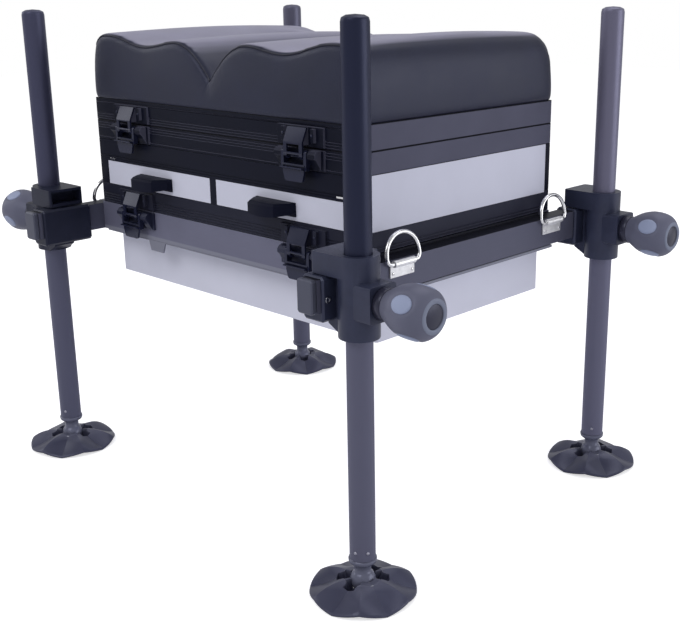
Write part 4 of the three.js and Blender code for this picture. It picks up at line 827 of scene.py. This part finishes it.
# Seam along the front top edge: its place, its groove, and the pucker at the bottom of the notch
SEAM_SHARE, SEAM_DROP, SEAM_SLANT, SEAM_START = 0.985, 0.3, 0.7, 14
HOLD_STEPS, SEAM_STEPS, SEAM_SIDES = 420, 300, 8
SEAM_RADIUS, SEAM_SUNK, GROOVE_DEPTH, GROOVE_REACH, GROOVE_BAND = 0.85, 0.35, 1.1, 4.5, 12
NOTCH_REACH, PUCKER_REACH, PUCKER_TOP, PUCKER_CORE = 40, 18, 3, 4
PUCKER_FOLDS, PUCKER_DEPTH, PUCKER_CURVE = 9, 0.35, 1.5


def cushion_rise(u):
    """Height of the cushion at share u of its half width, before its edges round off."""
    a = abs(u)

    def ease(t):
        return 0.5 - 0.5 * math.cos(math.pi * min(1.0, max(0.0, t)))

    if a < CREST_SHARE:
        return lerp(VALLEY, INNER_CREST, math.sin(math.pi / 2 * (a / CREST_SHARE) ** VALLEY_CURVE))
    if a < TROUGH_SHARE:
        return lerp(INNER_CREST, TROUGH, ease((a - CREST_SHARE) / (TROUGH_SHARE - CREST_SHARE)))
    return lerp(TROUGH, CREST, ease((a - TROUGH_SHARE) / (OUTER_SHARE - TROUGH_SHARE)))


def edge_drop(distance, radius):
    """How far a rounded edge lies under its face, at a distance in from the side."""
    d = max(0.0, min(distance, radius))
    return radius - math.sqrt(max(0.0, radius * radius - (radius - d) ** 2))


def blank_top():
    """Rows of points over the top of the blank, closer together near its edges."""
    grid = []
    for j in range(ROWS + 1):
        share = 0.5 - 0.5 * math.cos(math.pi * j / ROWS)
        y = lerp(-BLANK_HALF_Y, BLANK_HALF_Y, share)
        crown = CROWN_RISE * math.sin(math.pi * share)
        drop = max(edge_drop(y + BLANK_HALF_Y, FRONT_RADIUS), edge_drop(BLANK_HALF_Y - y, BACK_RADIUS))
        line = []
        for i in range(COLUMNS + 1):
            t = i / COLUMNS
            u = -math.cos(math.pi * t) * CROWDING + (2 * t - 1) * (1 - CROWDING)
            x = u * (BLANK_HALF_X - edge_drop(BLANK_HALF_Y - abs(y), CORNER_RADIUS))
            side = edge_drop(BLANK_HALF_X - abs(u * BLANK_HALF_X), SIDE_RADIUS)
            z = cushion_rise(u) + crown - side - drop - CUSHION_SHRINK
            line.append(Vector((x, y, max(VALLEY * LOWEST_SHARE, z))))
        grid.append(line)
    return grid


def cushion_blank():
    """Closed grid of the cushion's outline, a little smaller than its final size."""
    grid = blank_top()
    points = [p for line in grid for p in line]
    width = COLUMNS + 1
    rim = [(0, i) for i in range(width)] + [(j, COLUMNS) for j in range(1, ROWS + 1)]
    rim += [(ROWS, i) for i in range(COLUMNS - 1, -1, -1)] + [(j, 0) for j in range(ROWS - 1, 0, -1)]
    rings = [[j * width + i for j, i in rim]]
    for k in range(1, WALLS + 1):
        share = 1 - k / WALLS
        swell = math.sin(math.pi * lerp(WALL_FOOT_SHARE, 1, share))
        ring = []
        for j, i in rim:
            out = Vector(((i == COLUMNS) - (i == 0), (j == ROWS) - (j == 0), 0)).normalized()
            p = grid[j][i] + out * CUSHION_BULGE * swell
            ring.append(len(points))
            points.append(Vector((p.x, p.y, lerp(-BASE_SINK, p.z, share))))
        rings.append(ring)
    faces = [
        (j * width + i, j * width + i + 1, (j + 1) * width + i + 1, (j + 1) * width + i)
        for j in range(ROWS)
        for i in range(COLUMNS)
    ]
    for upper, lower in zip(rings, rings[1:]):
        for q in range(len(rim)):
            r = (q + 1) % len(rim)
            faces.append((upper[q], lower[q], lower[r], upper[r]))
    centre = len(points)
    points.append(Vector((0, 0, -BASE_SINK)))
    for q in range(len(rim)):
        faces.append((rings[-1][(q + 1) % len(rim)], rings[-1][q], centre))
    return [(p.x, p.y, p.z + CUSHION_BOTTOM) for p in points], faces


def seam_line(steps, grow):
    """Points of the seam along the front top edge, grow in millimetres outside the blank's edge."""
    line = []
    for k in range(steps + 1):
        u = lerp(-SEAM_SHARE, SEAM_SHARE, k / steps)
        side = edge_drop(BLANK_HALF_X - abs(u * BLANK_HALF_X), SIDE_RADIUS)
        z = CUSHION_BOTTOM + cushion_rise(u) - side - CUSHION_SHRINK - FRONT_RADIUS * SEAM_DROP
        y = -BLANK_HALF_Y + FRONT_RADIUS * SEAM_DROP
        line.append(Vector((u * BLANK_HALF_X, y - grow * SEAM_SLANT, z + grow * SEAM_SLANT)))
    return line


def settled(obj):
    """The object's mesh with its modifiers applied."""
    graph = bpy.context.evaluated_depsgraph_get()
    graph.update()
    mesh = bpy.data.meshes.new_from_object(obj.evaluated_get(graph), depsgraph=graph)
    obj.modifiers.clear()
    obj.data = mesh
    return mesh


def near_line(point, line, reach):
    """Share from 1 on the line to 0 at its reach."""
    nearest = min((point - p).length_squared for p in line)
    return max(0.0, 1 - math.sqrt(nearest) / reach)


def is_held(at, seam):
    """Whether the cover is held at a place: its foot, the valley, the inner crests or the seam."""
    x, y, z = (c / MM for c in at)
    rise, share = z - CUSHION_BOTTOM, abs(x) / CUSHION_HALF_X
    if rise < HELD_FOOT or share < HELD_VALLEY:
        return True
    if abs(share - CREST_SHARE) < HELD_CREST and rise > HELD_CREST_FLOOR:
        return True
    return y < HELD_SEAM_DEPTH - CUSHION_HALF_Y and near_line(at / MM, seam, HELD_SEAM_REACH) > 0


def inflate(obj, seam):
    """Lets air swell the cover between its seam and its base, no further than the cap."""
    start = [v.co.copy() for v in obj.data.vertices]
    held = obj.vertex_groups.new(name="held")
    held.add([v.index for v in obj.data.vertices if is_held(v.co, seam)], 1.0, "REPLACE")
    cloth = obj.modifiers.new("air", "CLOTH")
    for key, value in CLOTH.items():
        setattr(cloth.settings, key, value)
    cloth.settings.effector_weights.gravity = 0
    cloth.collision_settings.use_collision = False
    cloth.point_cache.frame_start = 1
    cloth.point_cache.frame_end = CUSHION_FRAMES
    for number in range(1, CUSHION_FRAMES + 1):
        bpy.context.scene.frame_set(number)
    mesh = settled(obj)
    cap = CUSHION_CAP * MM
    for v, at in zip(mesh.vertices, start):
        move = v.co - at
        if move.length > cap:
            v.co = at + move * (cap / move.length)
    bpy.context.scene.frame_set(1)


def seat_cushion():
    """Cover of the cushion: remeshed evenly, swollen, refined and stitched."""
    cover = piece("seat_cushion.cover", cushion_blank(), "lid", "vinyl", replaced=["seat_cushion"])
    remesh = cover.modifiers.new("even", "REMESH")
    remesh.mode = "VOXEL"
    remesh.voxel_size = CUSHION_VOXEL * MM
    remesh.use_smooth_shade = True
    settled(cover)
    relax = cover.modifiers.new("relax", "SMOOTH")
    relax.factor = 0.5
    relax.iterations = 1
    settled(cover)
    inflate(cover, seam_line(HOLD_STEPS, 0))
    fine = cover.modifiers.new("fine", "SUBSURF")
    fine.levels = fine.render_levels = 1
    settled(cover)
    stitch(cover)
    shade_smooth(cover.data)


def stitch(cover):
    """Sinks the cover along its seam, puckers it at the bottom of the notch and lays the seam in."""
    mesh = cover.data
    tree = BVHTree.FromPolygons([v.co for v in mesh.vertices], [tuple(p.vertices) for p in mesh.polygons])
    inwards = Vector((0, 1, -1)).normalized()
    hits = [tree.ray_cast(p * MM, inwards)[0] for p in seam_line(SEAM_STEPS, SEAM_START)]
    line = [hit / MM for hit in hits if hit]
    notch = min((p for p in line if abs(p.x) < NOTCH_REACH), key=lambda p: p.z)
    normals = [v.normal.copy() for v in mesh.vertices]
    for v, normal in zip(mesh.vertices, normals):
        p = v.co / MM
        if p.y > -CUSHION_HALF_Y + GROOVE_BAND:
            continue
        sink = near_line(p, line, GROOVE_REACH)
        if sink > 0:
            v.co -= normal * GROOVE_DEPTH * sink * sink * MM
        off = p - notch
        reach = math.hypot(off.x, off.z)
        if reach < PUCKER_REACH and off.z < PUCKER_TOP:
            fold = math.cos(PUCKER_FOLDS * math.atan2(off.x, -off.z))
            fold *= (1 - reach / PUCKER_REACH) ** PUCKER_CURVE * min(1, reach / PUCKER_CORE)
            v.co += normal * PUCKER_DEPTH * fold * MM
    seam = tube([p + inwards * SEAM_SUNK for p in line], SEAM_RADIUS, SEAM_SIDES)
    piece("seat_cushion.seam", seam, "lid", "vinyl", mat=SEAM)


# Painted shadow: grey strips under the bars for their shadow on the base box, with the shadow of the lower
# left latch's lever at the front, and bright ends of the drawer runners
STRIP_FRONT, STRIP_THICKNESS = 0.1 - HALF_DEPTH, 2.0
STRIP_TOP, STRIP_BOTTOM, STRIP_HALF = BAR_UNDERSIDE - 0.1, BAR_UNDERSIDE - 1.3, HALF_WIDTH - 7.0
LEVER_SHADOW_X, LEVER_SHADOW_BOTTOM = [-123.8, -120.5, -97.5, -93.0], BAR_UNDERSIDE - 12.4
SIDE_STRIP_IN, SIDE_STRIP_OUT = HALF_WIDTH + 0.2, BAR_SIDE - 0.3
SIDE_STRIP_FRONT, SIDE_STRIP_BACK = -129.0, 132.0
SIDE_STRIP_TOP, SIDE_STRIP_BOTTOM = 275.8, 272.8
RUNNER_ENDS = {"l": (-190.0, -180.5, 362.0, 363.6), "r": (186.0, 195.0, 363.0, 364.8)}
RUNNER_PROUD, RUNNER_SUNK = 0.7, 1.5
STRIP_EDGE, SIDE_STRIP_EDGE, RUNNER_EDGE = 0.3, 0.4, 0.2


def front_shadow_strip():
    """Grey strip under the front bar, painted as the bar's shadow on the base box, with the painted shadow
    of the lower left latch's lever.
    """
    outline = [(-STRIP_HALF, STRIP_TOP), (-STRIP_HALF, STRIP_BOTTOM)]
    outline += zip(LEVER_SHADOW_X, (STRIP_BOTTOM, LEVER_SHADOW_BOTTOM, LEVER_SHADOW_BOTTOM, STRIP_BOTTOM))
    outline += [(STRIP_HALF, STRIP_BOTTOM), (STRIP_HALF, STRIP_TOP)]
    count = len(outline)
    points = [(x, STRIP_FRONT + depth, z) for depth in (0, STRIP_THICKNESS) for x, z in outline]
    faces = [tuple(range(count)), tuple(range(2 * count - 1, count - 1, -1))]
    faces += [(i, i + count, (i + 1) % count + count, (i + 1) % count) for i in range(count)]
    strip = piece("front_bar.shadow_strip", (points, faces), "frame", "silver_sheet", mat=SHADOW_PLATE)
    edges(strip, STRIP_EDGE)


def shadow_strips_and_runner_ends():
    """Grey strips under the bars, painted for their shadow on the base box, and ends of the drawer runners.
    """
    front_shadow_strip()
    for side, mark in SIDES:
        # Grey plates under the side bars: a flange, painted in the grey of the bars' shadow on it.
        left, right = sorted((side * SIDE_STRIP_IN, side * SIDE_STRIP_OUT))
        low, high = (left, SIDE_STRIP_FRONT, SIDE_STRIP_BOTTOM), (right, SIDE_STRIP_BACK, SIDE_STRIP_TOP)
        plate(f"side_strip_{mark}", low, high, "frame", "silver_sheet", SIDE_STRIP_EDGE, SHADOW_PLATE)
    for mark, (left, right, bottom, top) in RUNNER_ENDS.items():
        low, high = (left, -HALF_DEPTH - RUNNER_PROUD, bottom), (right, RUNNER_SUNK - HALF_DEPTH, top)
        plate(f"runner_end_{mark}", low, high, "cassette", "bright_nickel", RUNNER_EDGE)


# Fasteners of the castings and the legs, with the turns of each leg's rivets in degrees
SCREW_X, SCREW_Y, SCREW_Z, SCREW_RADIUS = BAR_SIDE + 3.0, 214.8, 288.0, 3.1
LEG_RIVET_SIZE, LEG_RIVET_UP = (1.6, 0.7), 9.0
LEG_RIVETS = {"fl": [-60], "fr": [-78, -22], "bl": [120], "br": [-60]}

# Rivets of a latch: out from its middle, in front of the box, and up from the joint
LATCH_RIVETS = {"keeper": (20.2, 6.0, 12.5), "base": (25.2, 2.5, -16.5)}
LATCH_RIVET_SIZE = (1.6, 0.9)


def latch_rivets(level, line, **bodies):
    """Rivets of the two latches at a joint, each kind on its body."""
    for side, mark in SIDES:
        for hand, end_mark in HANDS:
            for kind, body in bodies.items():
                out, front, up = LATCH_RIVETS[kind]
                at = (side * LATCH_X + hand * out, -HALF_DEPTH - front, line + up)
                name = f"{kind}_rivet_{level}_{mark}_{end_mark}"
                rivet(name, at, (0, -1, 0), LATCH_RIVET_SIZE, body, "latch_black")


def fasteners():
    """Screws in the castings' sleeves, rivets at the bottom of the legs, and rivets of the latches."""
    for corner, (long_name, side, end, _) in CORNERS.items():
        at = (side * SCREW_X, end * SCREW_Y, SCREW_Z)
        socket_screw(f"sleeve_screw_{corner}", at, (side, 0, 0), SCREW_RADIUS, "frame")
        axis = Vector((side * LEG_X, end * LEG_Y, LEG_BOTTOM + LEG_RIVET_UP))
        for k, turn in enumerate(LEG_RIVETS[corner]):
            facing = turn_z(turn) @ Vector((1, 0, 0))
            name, at, body = f"leg_rivet_{corner}_{k}", axis + facing * LEG_RADIUS, f"leg_{long_name}"
            rivet(name, at, facing, LEG_RIVET_SIZE, body, "tube_black", LEG_RIVET)
    latch_rivets("upper", LID_LINE, keeper="lid", base="cassette")
    latch_rivets("lower", BOX_LINE, keeper="cassette", base="frame")


# Light, floor and camera
WORLD_LEVEL = 0.50
FLOOR_REACH = 6.0
FLOOR_COLOR = (0.80, 0.80, 0.83)
FLOOR_GLOW = 0.62
WHITE = (1.0, 1.0, 1.0)

# Area lights: place, target, size, power and colour
LIGHTS = {
    "key": ((0.2, -2.2, 2.4), (0, 0, 0.3), (1.8, 1.4), 26, WHITE),
    "side": ((2.6, 1.5, 0.7), (0, 0, 0.25), (2.2, 1.4), 24, (0.96, 0.97, 1.0)),
    "left": ((-2.4, -1.2, 1.4), (0, 0, 0.3), (1.2, 1.6), 10, WHITE),
    "top": ((0.0, 0.9, 2.6), (0, 0, 0.4), (1.8, 1.6), 14, (0.97, 0.96, 1.0)),
}


def studio_world():
    """World that lights the object evenly and shows as white behind it."""
    world = bpy.data.worlds.new("studio")
    bpy.context.scene.world = world
    world.use_nodes = True
    nodes, link = world.node_tree.nodes, world.node_tree.links.new
    back = nodes["Background"]
    back.inputs["Color"].default_value = (*WHITE, 1)
    path = nodes.new("ShaderNodeLightPath")
    seen = nodes.new("ShaderNodeMath")
    seen.operation = "MAXIMUM"
    link(path.outputs["Is Camera Ray"], seen.inputs[0])
    link(path.outputs["Is Transmission Ray"], seen.inputs[1])
    level = nodes.new("ShaderNodeMapRange")
    level.inputs["To Min"].default_value = WORLD_LEVEL
    level.inputs["To Max"].default_value = 1.0
    link(seen.outputs[0], level.inputs["Value"])
    link(level.outputs["Result"], back.inputs["Strength"])


def white_floor():
    """Floor that takes soft shadows and glows to white for the camera."""
    corners = [(x * FLOOR_REACH, y * FLOOR_REACH, 0) for x, y in ((-1, -1), (1, -1), (1, 1), (-1, 1))]
    mesh = bpy.data.meshes.new("floor")
    mesh.from_pydata(corners, [], [(0, 1, 2, 3)])
    floor = bpy.data.objects.new("floor", mesh)
    bpy.context.scene.collection.objects.link(floor)
    s = Shader("floor_white", FLOOR_COLOR, 1.0, specular=0.0)
    glow = s.node("ShaderNodeEmission")
    s.set(glow, "Color", (*WHITE, 1))
    scale = s.node("ShaderNodeMath", operation="MULTIPLY")
    s.set(scale, 1, FLOOR_GLOW)
    s.link(s.node("ShaderNodeLightPath").outputs["Is Camera Ray"], scale.inputs[0])
    s.link(scale.outputs[0], glow.inputs["Strength"])
    both = s.node("ShaderNodeAddShader")
    s.link(s.bsdf.outputs[0], both.inputs[0])
    s.link(glow.outputs[0], both.inputs[1])
    s.link(both.outputs[0], s.tree.nodes["Material Output"].inputs["Surface"])
    mesh.materials.append(s.mat)


def area_light(name, at, target, size, power, color):
    data = bpy.data.lights.new(name, "AREA")
    data.shape = "RECTANGLE"
    data.size, data.size_y = size
    data.energy = power
    data.color = color
    light = bpy.data.objects.new(name, data)
    bpy.context.scene.collection.objects.link(light)
    light.location = at
    light.rotation_euler = (Vector(target) - Vector(at)).to_track_quat("-Z", "Y").to_euler()


def photo_camera():
    """Camera of the photograph, from its place, its angles in radians and its principal point."""
    data = bpy.data.cameras.new("photo_camera")
    camera = bpy.data.objects.new("photo_camera", data)
    bpy.context.scene.collection.objects.link(camera)
    data.sensor_width = SENSOR_WIDTH
    data.lens = FOCAL_PIXELS * SENSOR_WIDTH / PHOTO_WIDTH
    data.shift_x = (PHOTO_WIDTH / 2 - PRINCIPAL_X) / PHOTO_WIDTH
    data.shift_y = (PRINCIPAL_Y - PHOTO_HEIGHT / 2) / PHOTO_WIDTH
    data.clip_start, data.clip_end = CLIP_NEAR, CLIP_FAR
    cy, sy = math.cos(CAMERA_YAW), math.sin(CAMERA_YAW)
    cp, sp = math.cos(CAMERA_PITCH), math.sin(CAMERA_PITCH)
    forward = Vector((-sy * cp, cy * cp, sp))
    right = Vector((cy, sy, 0))
    up = right.cross(forward)
    cr, sr = math.cos(CAMERA_ROLL), math.sin(CAMERA_ROLL)
    x_axis, y_axis = right * cr + up * sr, up * cr - right * sr
    turn = Matrix((x_axis, y_axis, -forward)).transposed()
    camera.matrix_world = Matrix.Translation(CAMERA_AT) @ turn.to_4x4()
    bpy.context.scene.camera = camera


for node in NODES:
    dress(node)
seat_cushion()
for corner, (long_name, side, end, heading) in CORNERS.items():
    x, y = side * LEG_X, end * LEG_Y
    knob(corner, long_name, side, x, y)
    d_ring(corner, long_name, side)
    foot(corner, long_name, x, y, heading)
    ball_stud(corner, long_name, x, y, heading)
fasteners()
shadow_strips_and_runner_ends()
studio_world()
white_floor()
for name, settings in LIGHTS.items():
    area_light(name, *settings)
photo_camera()
bpy.context.scene.view_settings.view_transform = "Standard"
